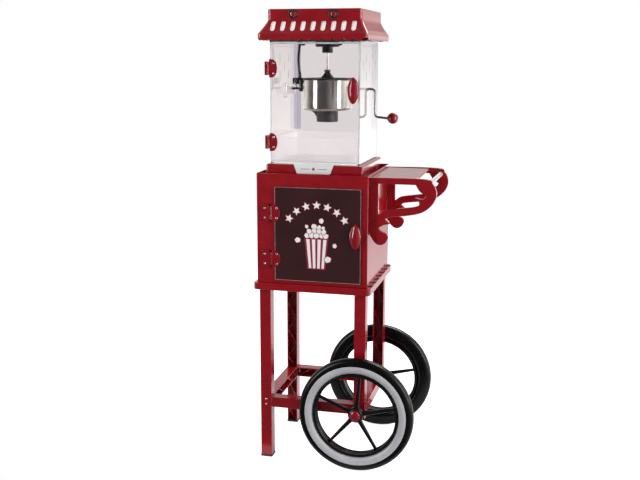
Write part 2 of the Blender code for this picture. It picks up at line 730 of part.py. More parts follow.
def build_wheel(row, side):
    """One wheel; side is -1 at the front of the cart and +1 at the back."""
    middle = (wheel_x, side * HALF_TRACK, WHEEL_RADIUS)
    spin = pivot(row + "_wheel_axis", middle)
    half = TYRE_WIDTH / 2
    section = [(0.0, 0.62), (0.20, 0.92), (0.50, 1.0), (0.84, 0.72), (1.0, 0.0)]
    upper = [(tyre_bore + TYRE_DEPTH * u, half * w) for u, w in section]
    lower = [(radius, -height) for radius, height in reversed(upper[:-1])]
    turned(row + "_tyre", upper + lower, middle, TURN_Y, tyre_rubber, spin, steps=40, ring=True)
    outer = tyre_bore - GAP
    inner = outer - RIM_WALL
    rim_half = RIM_WIDTH / 2
    rim_profile = [(inner, rim_half), (outer, rim_half), (outer, -rim_half),
                   (inner, -rim_half)]
    wheel = turned(row + "_wheel", rim_profile, middle, TURN_Y, dark_plastic, spin,
                   steps=40, ring=True)
    spoke_start, spoke_end = HUB_RADIUS * 0.62, inner + RIM_WALL / 2
    bm = bmesh.new()
    for i in range(SPOKE_COUNT):
        angle = SPOKE_FIRST_ANGLE + i * math.tau / SPOKE_COUNT
        where = (Matrix.Rotation(-angle, 4, "Y")
                 @ Matrix.Translation(((spoke_start + spoke_end) / 2, 0, 0))
                 @ Matrix.Rotation(math.radians(90), 4, "Y"))
        bmesh.ops.create_cone(bm, cap_ends=True, segments=8, radius1=SPOKE_ROOT,
                              radius2=SPOKE_TIP, depth=spoke_end - spoke_start, matrix=where)
    spokes = place(mesh_object(row + "_spokes", bm), middle, FLAT, None, spin)
    bore = AXLE_RADIUS + SLIP
    length = HUB_HALF_LENGTH
    hub_profile = [(bore, length), (HUB_RADIUS * 0.86, length), (HUB_RADIUS, length * 0.7),
                   (HUB_RADIUS, -length * 0.7), (HUB_RADIUS * 0.86, -length), (bore, -length)]
    hub = turned(row + "_hub", hub_profile, middle, TURN_Y, None, spin, steps=20, ring=True)
    join(wheel, spokes, hub)
    face = HALF_TRACK + HUB_HALF_LENGTH + GAP
    dome = [(0, HUB_CAP_RISE), (HUB_CAP_RADIUS * 0.5, HUB_CAP_RISE * 0.86),
            (HUB_CAP_RADIUS * 0.85, HUB_CAP_RISE * 0.5), (HUB_CAP_RADIUS, 0), (0, 0)]
    outward = (math.radians(90 if side < 0 else -90), 0, 0)
    turned(row + "_hub_cap", dome, (wheel_x, side * face, WHEEL_RADIUS), outward,
           red_plastic, spin, steps=20)


# ---- push handle and side shelf --------------------------------------------------------


def build_side_shelf():
    top = cabinet_top - BRACKET_DROP
    reach = BRACKET_REACH
    body = [(0, 0, 1), (reach - 0.033, 0, 0), (reach - 0.0095, -0.0125, 0),
            (reach, -0.0380, 0), (reach - 0.0105, -0.0650, 0), (reach - 0.036, -0.0860, 0),
            (reach - 0.073, -0.0957, 0), (0.052, -0.1020, 0), (0.0430, -0.1085, 0),
            (0.0550, -0.1196, 1), (0.0385, -0.1232, 0), (0.0262, -0.1310, 0),
            (0.0330, -0.1405, 0), (0.0455, -0.1465, 0), (0.0498, -0.1560, 0),
            (0.0425, -0.1706, 0), (0.0290, -0.1763, 0), (0.0150, -0.1705, 0), (0, -0.1488, 1)]
    strip = 0.0234
    window = [(strip, -0.0155, 1), (strip, -0.0956, 1), (0.0400, -0.0845, 0),
              (0.0750, -0.0785, 0), (0.1200, -0.0715, 0), (0.1290, -0.0620, 0),
              (0.1190, -0.0475, 1), (0.1380, -0.0520, 0), (0.1454, -0.0427, 1),
              (0.1300, -0.0320, 0), (0.1190, -0.0155, 1)]
    loops = [smooth_loop(body, 3), smooth_loop(window, 3)]
    first = -half_depth + BRACKET_SETBACK
    side = half_width + GAP
    for name, y in (("front_bracket", first), ("rear_bracket", -first - BRACKET_SHEET)):
        outline(name, loops, BRACKET_SHEET, (side, y + BRACKET_SHEET / 2, top), STAND_XZ,
                red_enamel)
    between = first + BRACKET_SHEET + GAP
    box("side_shelf", (side, half_width + SHELF_REACH), (between, -between),
        (top - SHELF_SHEET, top), red_enamel, rounded=0.0015, segments=1)
    rod("handle_bar", BAR_RADIUS, -2 * between, (half_width + BAR_REACH, 0, top - BAR_DROP),
        TURN_Y, steel, sides=20)


# ---- popper base, case and canopy ------------------------------------------------------


def build_base():
    half = BASE_WIDTH / 2
    bottom = deck_top + GAP
    base = box("popper_base", (-half, half), (-BASE_FRONT, BASE_BACK),
               (bottom - 2 * BASE_ROUND, base_top), red_enamel, rounded=BASE_ROUND, segments=3)
    cut(base, box("base_inside", (-half + BASE_WALL, half - BASE_WALL),
                  (-BASE_FRONT + BASE_WALL, BASE_BACK - BASE_WALL),
                  (bottom - 0.05, base_top - BASE_WALL)),
        box("base_foot_trim", (-BASE_WIDTH, BASE_WIDTH), (-BASE_WIDTH, BASE_WIDTH),
            (bottom - 0.05, bottom)))
    wide, low = LABEL_WIDTH / 2, -LABEL_HEIGHT
    narrow = wide - LABEL_HEIGHT * 0.28
    shape = ([(wide, 0), (-wide, 0)]
             + arc((-narrow + 0.006, low + 0.006), 0.006, 165, 270, 3)
             + arc((narrow - 0.006, low + 0.006), 0.006, 270, 375, 3))
    outline("label_plate", [shape], LABEL_SHEET,
            (0, -BASE_FRONT - GAP - LABEL_SHEET / 2, base_top - LABEL_DROP + LABEL_HEIGHT),
            STAND_XZ, label_white)


def build_case():
    back = CASE_BACK
    front = -CASE_FRONT + CASE_SHEET + GAP
    vent_z = case_top - VENT_DROP
    rows = [(i - (VENT_COUNT - 1) / 2) * VENT_PITCH for i in range(VENT_COUNT)]
    vents = rods("case_vents", VENT_RADIUS, CASE_WIDTH * 1.1, [(0, y, vent_z) for y in rows],
                 TURN_X, sides=8)
    slot_places = [(0, y, vent_z - drop) for y, drop in
                   ((-0.078, 0.050), (-0.040, 0.030), (-0.040, 0.075), (0.0, 0.055),
                    (0.040, 0.030), (0.040, 0.075), (0.078, 0.050))]
    louvres = slots("case_louvres", 0.0022, 0.022, CASE_WIDTH * 1.1, slot_places, TURN_X)
    for side, name in ((-1, "case_left_panel"), (1, "case_right_panel")):
        wall = sorted((side * case_half, side * (case_half - CASE_SHEET)))
        panel = box(name, wall, (front, back), (case_bottom, case_top), clear_acrylic)
        if side > 0:
            cut(panel, rod("crank_hole", CRANK_RADIUS + CRANK_PLAY, CASE_WIDTH,
                           (case_half, KETTLE_Y, pivot_z), TURN_X, sides=18))
        cut(panel, louvres, vents)
    inner = case_half - CASE_SHEET - GAP
    box("case_rear_panel", (-inner, inner), (back - CASE_SHEET, back),
        (case_bottom, case_top), clear_acrylic)
    tray_half = inner - TRAY_PLAY
    tray_front = front - GAP + 0.0010
    tray_back = back - CASE_SHEET - TRAY_PLAY
    tray = box("popcorn_tray", (-tray_half, tray_half), (tray_front, tray_back),
               (case_bottom, case_bottom + TRAY_HEIGHT), clear_acrylic, rounded=0.003,
               segments=2)
    cut(tray, box("tray_inside", (-tray_half + TRAY_WALL, tray_half - TRAY_WALL),
                  (tray_front + TRAY_WALL, tray_back - TRAY_WALL),
                  (case_bottom + TRAY_WALL, case_bottom + TRAY_HEIGHT + 0.02)))


def scallop_line(half, lobes, top, depth, far):
    """The region below a row of hanging lobes, as a loop in (along, height)."""
    points = []
    per_lobe = 4
    for i in range(lobes * per_lobe + 1):
        along = -half + 2 * half * i / (lobes * per_lobe)
        phase = (i % per_lobe) / per_lobe
        points.append((along, top - depth * math.sqrt(math.sin(math.pi * phase))))
    return [(-half, top - far)] + points + [(half, top - far)]


def build_canopy():
    band_half, eave_half = BAND_WIDTH / 2, EAVE_WIDTH / 2
    band_bottom = canopy_top - BAND_HEIGHT
    eave = band_bottom - AWNING_HEIGHT
    hem = eave - VALANCE_HEIGHT
    shave = BAND_TOP_ROUND
    rings = [(band_half - shave, BAND_FRONT - shave, BAND_BACK - shave, canopy_top, 0.7),
             (band_half - shave * 0.3, BAND_FRONT - shave * 0.3, BAND_BACK - shave * 0.3,
              canopy_top - shave * 0.3, 0.9),
             (band_half, BAND_FRONT, BAND_BACK, canopy_top - shave, 1.0),
             (band_half, BAND_FRONT, BAND_BACK, band_bottom, 1.0),
             (eave_half, EAVE_FRONT, EAVE_BACK, eave, 1.0),
             (eave_half, EAVE_FRONT, EAVE_BACK, hem, 1.0)]
    bm = bmesh.new()
    previous = None
    for half, front, back, z, corner in rings:
        loop = [bm.verts.new((x, y, z)) for x, y in
                rounded_rectangle(half, -front, back, CANOPY_CORNER * corner, 3)]
        if previous is None:
            bm.faces.new(loop)
        else:
            for i in range(len(loop)):
                j = (i + 1) % len(loop)
                bm.faces.new((previous[i], loop[i], loop[j], previous[j]))
        previous = loop
    canopy = place(mesh_object("canopy", bm), (0, 0, 0), FLAT, red_enamel, cart_frame)
    shell = canopy.modifiers.new("sheet", "SOLIDIFY")
    shell.thickness = CANOPY_SHEET
    shell.offset = -1
    shell.use_even_offset = True
    straight = CANOPY_CORNER * 0.4
    low = hem + SCALLOP_DEPTH
    half_x = eave_half - straight
    half_y = (EAVE_FRONT + EAVE_BACK) / 2 - straight
    middle_y = (EAVE_BACK - EAVE_FRONT) / 2
    across = outline("scallops_front", [scallop_line(half_x, SCALLOP_COUNT, low, SCALLOP_DEPTH,
                                                     0.03)],
                     EAVE_FRONT * 3, (0, 0, 0), STAND_XZ)
    along = outline("scallops_side", [scallop_line(half_y, SCALLOP_COUNT, low, SCALLOP_DEPTH,
                                                   0.03)],
                    EAVE_WIDTH * 2, (0, middle_y, 0), STAND_YZ)
    slot_z = eave + AWNING_HEIGHT * SLOT_LEVEL
    offsets = [(i - (SLOT_COUNT - 1) / 2) * SLOT_PITCH for i in range(SLOT_COUNT)]
    front_slots = slots("awning_slots_front", SLOT_WIDTH, SLOT_HEIGHT, 0.05,
                        [(x, -(BAND_FRONT + EAVE_FRONT) / 2, slot_z) for x in offsets], TURN_Y)
    side_slots = slots("awning_slots_side", SLOT_WIDTH, SLOT_HEIGHT, EAVE_WIDTH * 1.2,
                       [(0, y, slot_z) for y in offsets], TURN_X)
    switch_z = canopy_top - SWITCH_DROP
    holes = rods("switch_holes", SWITCH_RADIUS + SWITCH_PLAY, 0.03,
                 [(x, -BAND_FRONT, switch_z) for x in (SWITCH_LEFT_X, SWITCH_RIGHT_X)],
                 TURN_Y, sides=20)
    cut(canopy, across, along, front_slots, side_slots, holes)
    for name, x in (("left_switch", SWITCH_LEFT_X), ("right_switch", SWITCH_RIGHT_X)):
        rock = pivot(name + "_axis", (x, -BAND_FRONT + CANOPY_SHEET / 2, switch_z))
        half = SWITCH_LENGTH / 2
        profile = [(0, half), (SWITCH_RADIUS * 0.7, half * 0.86), (SWITCH_RADIUS, half * 0.55),
                   (SWITCH_RADIUS, -half * 0.6), (SWITCH_RADIUS * 0.8, -half), (0, -half)]
        turned(name, profile, rock["cart_place"], STAND_XZ, red_plastic, rock, steps=20)


# ---- ceiling, motor, drive and cable -----------------------------------------------------

# The kettle's cable runs from the gland in the ceiling to the plug on the kettle's rim. Each
# point of its route is a share of the way down, and a share of the bow.
cable_x = -KETTLE_RADIUS - RIM_LIP - SLIP - CABLE_FROM_PAN
cable_top_z = ceiling_bottom - GLAND_HEIGHT - GAP
cable_end_z = lid_bottom_z + LID_SHEET + GAP
cable_shares = [(0.0, 0.0), (0.076, 0.0), (0.268, 0.6), (0.514, 1.0), (0.760, 0.6),
                (0.910, 0.1), (1.0, 0.1)]
cable_route = [(cable_x - CABLE_BOW * bow, KETTLE_Y, cable_top_z + (cable_end_z - cable_top_z) * down)
               for down, bow in cable_shares]


def smooth_route(points, spacing):
    """A smooth curve through the points, with about the given distance between points."""
    places = [Vector(point) for point in points]
    path = []
    for i in range(len(places) - 1):
        here, after = places[i], places[i + 1]
        before = places[i - 1] if i else here * 2 - after
        beyond = places[i + 2] if i + 2 < len(places) else after * 2 - here
        steps = max(1, round((after - here).length / spacing))
        leave, arrive = (after - before) / 2, (beyond - here) / 2
        for step in range(steps):
            t = step / steps
            path.append(here * (2 * t ** 3 - 3 * t ** 2 + 1) + after * (3 * t ** 2 - 2 * t ** 3)
                        + leave * (t ** 3 - 2 * t ** 2 + t) + arrive * (t ** 3 - t ** 2))
    path.append(places[-1])
    return path


def build_ceiling():
    inner_x = EAVE_WIDTH / 2 - CANOPY_SHEET - 2 * GAP
    front = EAVE_FRONT - CANOPY_SHEET - 2 * GAP
    back = EAVE_BACK - CANOPY_SHEET - 2 * GAP
    pan = outline("ceiling_pan", [rounded_rectangle(inner_x, -front, back, CANOPY_CORNER, 2)],
                  CEILING_SHEET, (0, 0, ceiling_bottom + CEILING_SHEET / 2), FLAT, dark_plastic)
    header = box("front_header", (-case_half, case_half), (-CASE_FRONT, -CASE_FRONT + CASE_SHEET),
                 (glass_door_top + 0.001, ceiling_bottom + 0.001))
    gland = rod("cable_gland", GLAND_RADIUS, GLAND_HEIGHT + 0.001,
                (cable_x, KETTLE_Y, ceiling_bottom - GLAND_HEIGHT / 2 + 0.0005), sides=16)
    join(pan, header, gland)
    cut(pan, rod("motor_hole", MOTOR_RADIUS + SLIP, 0.05, (0, KETTLE_Y, ceiling_bottom)))
    boss_top = ceiling_bottom - GAP
    bore = COUPLER_STUB + SLIP
    motor_profile = [(0, boss_top + MOTOR_HEIGHT), (MOTOR_RADIUS * 0.9, boss_top + MOTOR_HEIGHT),
                     (MOTOR_RADIUS, boss_top + MOTOR_HEIGHT * 0.94), (MOTOR_RADIUS, boss_top),
                     (BOSS_RADIUS, boss_top), (BOSS_RADIUS, boss_bottom + 0.002),
                     (BOSS_RADIUS - 0.002, boss_bottom), (bore, boss_bottom),
                     (bore, boss_bottom + COUPLER_STUB_LENGTH + SLIP),
                     (0, boss_bottom + COUPLER_STUB_LENGTH + SLIP)]
    turned("stir_motor", motor_profile, (0, KETTLE_Y, 0), FLAT, dark_plastic, steps=24)
    drive = pivot("drive_axis", (0, KETTLE_Y, boss_bottom))
    top = boss_bottom - GAP
    coupler_profile = [(0, top + COUPLER_STUB_LENGTH), (COUPLER_STUB, top + COUPLER_STUB_LENGTH),
                       (COUPLER_STUB, top), (COUPLER_RADIUS, top),
                       (COUPLER_RADIUS, coupler_bottom + 0.001),
                       (COUPLER_RADIUS - 0.001, coupler_bottom), (0, coupler_bottom)]
    coupler = turned("drive_coupler", coupler_profile, (0, KETTLE_Y, 0), FLAT, dark_plastic,
                     drive, steps=24)
    cut(coupler, box("coupler_slot", (-0.02, 0.02),
                     (KETTLE_Y - COUPLER_SLOT / 2, KETTLE_Y + COUPLER_SLOT / 2),
                     (coupler_bottom - 0.005, coupler_bottom + 0.003), None, drive))


# ---- kettle ---------------------------------------------------------------------------


def build_kettle():
    tilt = pivot("kettle_tilt_axis", (0, KETTLE_Y, pivot_z))
    r, wall = KETTLE_RADIUS, KETTLE_WALL
    rim, bottom = kettle_rim_z, kettle_bottom_z
    inside = r - wall
    turned("kettle_pan",
           [(0, bottom + wall), (inside - 0.009, bottom + wall), (inside - 0.003,
                                                                  bottom + wall + 0.002),
            (inside, bottom + wall + 0.008), (inside, rim), (r + RIM_LIP, rim),
            (r, rim - 0.0025), (r, bottom + 0.008), (r - 0.003, bottom + 0.002),
            (r - 0.009, bottom), (0, bottom)],
           (0, KETTLE_Y, 0), FLAT, steel, tilt, steps=40)
    heater_top = bottom - GAP
    heater_bottom = heater_top - HEATER_HEIGHT
    heater = turned("heater_base",
                    [(0, heater_top), (HEATER_RADIUS, heater_top),
                     (HEATER_RADIUS, heater_bottom + 0.001),
                     (HEATER_RADIUS - 0.001, heater_bottom), (0, heater_bottom)],
                    (0, KETTLE_Y, 0), FLAT, dark_plastic, tilt)
    flare = outline("heater_flare",
                    [[(0, 0), (-HEATER_RADIUS - HEATER_FLARE, 0)]
                     + arc((-HEATER_RADIUS - HEATER_FLARE, -HEATER_FLARE * 1.5),
                           HEATER_FLARE * 1.2, 80, 0, 4, 1.2)
                     + [(-HEATER_RADIUS + 0.004, -HEATER_FLARE * 1.8), (0, -HEATER_FLARE * 1.8)]],
                    HEATER_RADIUS, (0, KETTLE_Y, heater_top - 0.0002), STAND_XZ, None, tilt)
    join(heater, flare)
    lid_radius = r + RIM_LIP
    lid_middle = lid_bottom_z + LID_SHEET / 2
    bridge = outline("lid_bridge", [disc_slice(lid_radius, -BRIDGE_HALF, BRIDGE_HALF, 4)],
                     LID_SHEET, (0, KETTLE_Y, lid_middle), FLAT, dark_plastic, tilt)
    lid_top = lid_bottom_z + LID_SHEET
    cone_top = lid_top + HUB_CONE_HEIGHT
    hub_top = cone_top + HUB_KNOB_HEIGHT
    hub = turned("lid_hub",
                 [(0, hub_top), (HUB_TOP_RADIUS, hub_top), (HUB_TOP_RADIUS, cone_top + 0.001),
                  (HUB_TOP_RADIUS * 0.8, cone_top), (BRIDGE_HALF * 0.97, lid_top),
                  (BRIDGE_HALF * 0.97, lid_top - 0.001), (0, lid_top - 0.001)],
                 (0, KETTLE_Y, 0), FLAT, None, tilt, steps=24)
    join(bridge, hub)
    cut(bridge, rod("stir_rod_hole", STIR_ROD_RADIUS + SLIP, 0.08, (0, KETTLE_Y, lid_middle),
                    FLAT, None, tilt, sides=16))
    edge = BRIDGE_HALF + SLIP
    for name, side in (("front_lid_flap", -1), ("rear_lid_flap", 1)):
        fold = pivot(name + "_axis", (0, KETTLE_Y + side * edge, lid_top), tilt)
        slice_of_disc = disc_slice(lid_radius, edge + GAP, lid_radius * 0.995, 8)
        loop = [(x, side * y) for x, y in slice_of_disc]
        outline(name, [loop], LID_SHEET, (0, KETTLE_Y, lid_middle), FLAT, dark_plastic, fold)
    stir = pivot("stirrer_axis", (0, KETTLE_Y, kettle_bottom_z), tilt)
    rod_bottom = bottom + wall + 0.0030
    rod_top = coupler_bottom - STIR_ROD_TOP_GAP
    stirrer = rod("stirrer", STIR_ROD_RADIUS, rod_top - rod_bottom,
                  (0, KETTLE_Y, (rod_top + rod_bottom) / 2), FLAT, steel, stir, sides=12)
    join(stirrer, rod("stirrer_arm", STIR_ARM_RADIUS, 2 * STIR_ARM_REACH,
                      (0, KETTLE_Y, rod_bottom + STIR_ARM_RADIUS * 1.5), TURN_X, None, stir,
                      sides=8))
    build_kettle_supports(tilt)


def build_kettle_supports(tilt):
    wall_x = -KETTLE_RADIUS - RIM_LIP - SLIP
    hanger_x = -case_half + CASE_SHEET + GAP
    room = wall_x - hanger_x
    plug_top = lid_bottom_z + LID_SHEET
    plug_bottom = plug_top - PLUG_HEIGHT
    half = PLUG_WIDTH / 2
    plug = box("kettle_plug", (wall_x - room * PLUG_SHARE, wall_x), (KETTLE_Y - half, KETTLE_Y + half),
               (plug_bottom, plug_top), dark_plastic, tilt, rounded=0.0025, segments=2)
    leg = box("plug_leg", (wall_x - 0.0085, wall_x + 0.0002), (KETTLE_Y - 0.007, KETTLE_Y + 0.007),
              (pivot_z - 0.008, plug_bottom + 0.004), None, tilt)
    pin_end = hanger_x + room * HANGER_NOTCH_SHARE
    pin = rod("pivot_pin", PIVOT_PIN_RADIUS, wall_x - 0.004 - pin_end,
              ((wall_x - 0.004 + pin_end) / 2, KETTLE_Y, pivot_z), TURN_X, None, tilt, sides=12)
    join(plug, leg, pin)
    hanger = box("kettle_hanger", (hanger_x, hanger_x + HANGER_SHEET),
                 (KETTLE_Y - HANGER_WIDTH / 2, KETTLE_Y + HANGER_WIDTH / 2),
                 (pivot_z - HANGER_DROP, pivot_z + HANGER_RISE), clear_acrylic, rounded=0.001,
                 segments=1)
    arm_half = PIVOT_PIN_RADIUS + 0.0040
    arm = box("hanger_arm", (hanger_x + 0.001, hanger_x + room * HANGER_ARM_SHARE),
              (KETTLE_Y - arm_half, KETTLE_Y + arm_half), (pivot_z - 0.014, pivot_z + 0.005))
    notch_half = PIVOT_PIN_RADIUS + SLIP
    notch = box("hanger_notch", (hanger_x + HANGER_SHEET + 0.004, wall_x),
                (KETTLE_Y - notch_half, KETTLE_Y + notch_half),
                (pivot_z - notch_half, pivot_z + 0.02))
    join(hanger, arm)
    cut(hanger, notch)
    out = case_half + CRANK_OUTSIDE
    knob = (case_half + CRANK_KNOB_OUT, KETTLE_Y, pivot_z - CRANK_FALL - 0.003)
    path = bent_path([(KETTLE_RADIUS + SLIP, KETTLE_Y, pivot_z), (out, KETTLE_Y, pivot_z),
                      (out, KETTLE_Y, pivot_z - CRANK_FALL),
                      (knob[0] - CRANK_KNOB_RADIUS - GAP, KETTLE_Y, knob[2] + 0.0003)], 0.009)
    tube("crank", path, CRANK_RADIUS, steel, tilt)
    ball = [(CRANK_KNOB_RADIUS * math.sin(a), CRANK_KNOB_RADIUS * math.cos(a)) for a in
            [math.pi * i / 8 for i in range(9)]]
    ball[0] = (0, CRANK_KNOB_RADIUS)
    ball[-1] = (0, -CRANK_KNOB_RADIUS)
    turned("crank_knob", ball, knob, TURN_X, red_plastic, tilt, steps=16)
    tube("kettle_cable", smooth_route(cable_route, 0.009), CABLE_RADIUS, cable_rubber)


# ---- the cart ---------------------------------------------------------------------------

build_cabinet()
build_cabinet_door()
build_glass_door()
build_stand()
build_wheel("front", -1)
build_wheel("rear", 1)
build_side_shelf()
build_base()
build_case()
build_canopy()
build_ceiling()
build_kettle()
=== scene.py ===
import json
import math

import bmesh
import bpy
import numpy as np
from mathutils import Matrix, Vector
from mathutils.geometry import tessellate_polygon

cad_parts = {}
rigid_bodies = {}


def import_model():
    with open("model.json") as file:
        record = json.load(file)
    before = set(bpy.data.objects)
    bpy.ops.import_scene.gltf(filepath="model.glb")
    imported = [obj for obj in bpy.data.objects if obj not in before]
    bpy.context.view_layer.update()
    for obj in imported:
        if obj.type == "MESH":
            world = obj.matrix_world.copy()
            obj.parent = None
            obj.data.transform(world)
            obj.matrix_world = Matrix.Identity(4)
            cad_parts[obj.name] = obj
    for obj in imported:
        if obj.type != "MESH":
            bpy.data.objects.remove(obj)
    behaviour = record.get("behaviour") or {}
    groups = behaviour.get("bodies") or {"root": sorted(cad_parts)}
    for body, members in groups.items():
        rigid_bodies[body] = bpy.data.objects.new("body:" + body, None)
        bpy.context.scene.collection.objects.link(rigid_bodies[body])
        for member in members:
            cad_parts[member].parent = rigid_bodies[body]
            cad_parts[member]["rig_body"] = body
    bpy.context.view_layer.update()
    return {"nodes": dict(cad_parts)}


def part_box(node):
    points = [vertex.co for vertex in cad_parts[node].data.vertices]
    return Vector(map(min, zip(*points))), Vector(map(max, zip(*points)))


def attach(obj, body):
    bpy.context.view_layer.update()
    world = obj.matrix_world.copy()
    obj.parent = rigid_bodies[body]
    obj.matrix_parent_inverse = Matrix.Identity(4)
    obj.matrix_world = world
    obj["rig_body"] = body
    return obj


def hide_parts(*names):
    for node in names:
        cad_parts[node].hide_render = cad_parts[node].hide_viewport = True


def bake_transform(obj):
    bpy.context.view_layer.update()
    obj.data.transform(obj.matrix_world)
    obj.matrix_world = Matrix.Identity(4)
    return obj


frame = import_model()
print("frame loaded:", len(frame["nodes"]), "nodes")

# places that many pieces share, from the frame's own boxes
cabinetLow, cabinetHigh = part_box("cabinet_front_frame")
middleX = (cabinetLow.x + cabinetHigh.x) / 2
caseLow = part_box("case_left_panel")[0]
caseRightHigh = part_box("case_right_panel")[1]
baseLow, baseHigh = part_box("popper_base")
canopyLow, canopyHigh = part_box("canopy")
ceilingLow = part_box("ceiling_pan")[0]
panLow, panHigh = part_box("kettle_pan")
kettleX, kettleY = (panLow.x + panHigh.x) / 2, (panLow.y + panHigh.y) / 2
doorLow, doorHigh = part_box("cabinet_door_panel")
glassLow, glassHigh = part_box("glass_door_panel")


# camera, first of all

cameraPlace = {"position": (0.5411, -2.5068, 1.0956), "turnLeft": 0.2493, "tipDown": 0.1919,
               "roll": 0.0019, "lens": 53.10, "sensor": 36.0}


def setCamera(values):
    turn, tip, roll = values["turnLeft"], values["tipDown"], values["roll"]
    ahead = Vector((-math.sin(turn) * math.cos(tip), math.cos(turn) * math.cos(tip), -math.sin(tip)))
    right = Vector((math.cos(turn), math.sin(turn), 0))
    up = right.cross(ahead)
    right, up = (right * math.cos(roll) + up * math.sin(roll),
                 up * math.cos(roll) - right * math.sin(roll))
    camera = bpy.data.objects.new("camera", bpy.data.cameras.new("camera"))
    camera.data.sensor_width = values["sensor"]
    camera.data.lens = values["lens"]
    camera.data.clip_start, camera.data.clip_end = 0.05, 60
    axes = Matrix((right, up, -ahead)).transposed().to_4x4()
    camera.matrix_world = Matrix.Translation(values["position"]) @ axes
    bpy.context.scene.collection.objects.link(camera)
    bpy.context.scene.camera = camera


setCamera(cameraPlace)


# node helpers


# An sRGB hex code as linear red, green, blue and 1.
def linearColour(code):
    parts = [int(code[i:i + 2], 16) / 255 for i in (1, 3, 5)]
    return [c / 12.92 if c <= 0.04045 else ((c + 0.055) / 1.055) ** 2.4 for c in parts] + [1.0]


# One node, with its settings (socket names or numbers, or node options) and its links.
def addNode(tree, kind, settings=None, links=None):
    node = tree.nodes.new(kind)
    for name, value in (settings or {}).items():
        if isinstance(name, int) or name in node.inputs:
            node.inputs[name].default_value = value
        else:
            setattr(node, name, value)
    for name, source in (links or {}).items():
        tree.links.new(source, node.inputs[name])
    return node


# A finish made of noises on object coordinates. patterns gives each noise as its scale, detail and
# distortion, then any mappings before it. colour, roughness and bump name the noise that they
# follow, then two hex colours, two roughnesses, or a strength and a depth in metres.
def makeFinish(name, settings, patterns, colour=None, roughness=None, bump=None):
    material = bpy.data.materials.new(name)
    material.use_nodes = True
    tree = material.node_tree
    tree.nodes.clear()
    shader = addNode(tree, "ShaderNodeBsdfPrincipled", settings)
    addNode(tree, "ShaderNodeOutputMaterial", None, {"Surface": shader.outputs["BSDF"]})
    coordinates = addNode(tree, "ShaderNodeTexCoord").outputs["Object"]
    noises = {}
    for pattern, (noise, *mappings) in patterns.items():
        place = coordinates
        for mapping in mappings:
            place = addNode(tree, "ShaderNodeMapping", mapping, {"Vector": place}).outputs["Vector"]
        values = dict(zip(("Scale", "Detail", "Distortion"), noise))
        noises[pattern] = addNode(tree, "ShaderNodeTexNoise", values, {"Vector": place}).outputs["Fac"]
    if colour:
        follows, *codes = colour
        ramp = addNode(tree, "ShaderNodeValToRGB", None, {"Fac": noises[follows]})
        for element, stop, code in zip(ramp.color_ramp.elements, (0.3, 0.7), codes):
            element.position = stop
            element.color = linearColour(code)
        tree.links.new(ramp.outputs["Color"], shader.inputs["Base Color"])
    if roughness:
        follows, low, high = roughness
        spread = addNode(tree, "ShaderNodeMapRange", {"To Min": low, "To Max": high},
                         {"Value": noises[follows]})
        tree.links.new(spread.outputs["Result"], shader.inputs["Roughness"])
    if bump:
        follows, strength, depth = bump
        relief = addNode(tree, "ShaderNodeBump", {"Strength": strength, "Distance": depth},
                         {"Height": noises[follows]})
        tree.links.new(relief.outputs["Normal"], shader.inputs["Normal"])
    return material


# materials


# Powder-coated sheet: baked gloss enamel. It gives a deep even red under a clear film, with a
# faint orange peel (about 3 mm waves) that softens what it mirrors, and a dust-fine mottle.
def bakedEnamel():
    return makeFinish(
        "bakedRedEnamel", {"IOR": 1.5, "Coat Weight": 0.6, "Coat Roughness": 0.06},
        {"mottle": [(38.0, 3.0)], "peel": [(330.0, 1.0)]}, colour=("mottle", "#8b0715", "#990b1a"),
        roughness=("mottle", 0.16, 0.24), bump=("peel", 0.25, 0.00004))


# Injection-moulded ABS in gloss red: smoother than the enamel, no peel, only the slight flow
# waves of a moulding.
def mouldedRedAbs():
    return makeFinish(
        "mouldedRedAbs", {"IOR": 1.53, "Coat Weight": 0.35, "Coat Roughness": 0.04},
        {"flow": [(60.0, 2.0)]}, colour=("flow", "#820816", "#920c1c"),
        roughness=("flow", 0.13, 0.22), bump=("flow", 0.15, 0.0001))


# Glass-filled nylon and phenolic mouldings near the heat: dark grey with a fine spark-eroded
# grain of about 1 mm, drawn coarser than the real 0.2 mm so that it shows.
def grainedBlackNylon(name="grainedDarkNylon", low="#38383b", high="#47474a", rough=(0.38, 0.55),
                      shine=0.5):
    return makeFinish(
        name, {"IOR": 1.52, "Specular IOR Level": shine},
        {"grain": [(900.0, 2.0)], "broad": [(45.0, 2.0)]}, colour=("broad", low, high),
        roughness=("broad", *rough), bump=("grain", 0.35, 0.00008))


# Deep-drawn stainless steel, polished on a lathe: bright, with fine turning lines round the pan
# (about 0.6 mm apart here, finer in truth) that stretch highlights upright.
def turnedSteel():
    return makeFinish(
        "lathePolishedSteel", {"Metallic": 1.0, "Anisotropic": 0.55},
        {"haze": [(30.0, 3.0)],
         "lines": [(1.0, 2.0), {"Location": (-kettleX, -kettleY, 0)}, {"Scale": (6, 6, 1500)}]},
        colour=("haze", "#bdbdb6", "#cfcfca"), roughness=("haze", 0.10, 0.18),
        bump=("lines", 0.12, 0.00005))


# Drawn steel wire with a bright nickel plate: mirror-like with faint draw lines.
def platedWire(name="nickelPlatedWire", low="#8a8a87", high="#abaaa6", rough=(0.14, 0.24)):
    return makeFinish(name, {"Metallic": 1.0}, {"haze": [(120.0, 4.0)]}, colour=("haze", low, high),
                      roughness=("haze", *rough), bump=("haze", 0.1, 0.00005))


# Extruded aluminium tube, satin anodised: pale grey with draw lines along the tube (y).
def anodisedTube():
    return makeFinish(
        "satinAnodisedTube", {"Metallic": 0.85}, {"lines": [(1.0, 2.0), {"Scale": (900, 12, 900)}]},
        colour=("lines", "#c4c4c6", "#dcdcde"), roughness=("lines", 0.28, 0.40),
        bump=("lines", 0.1, 0.00005))


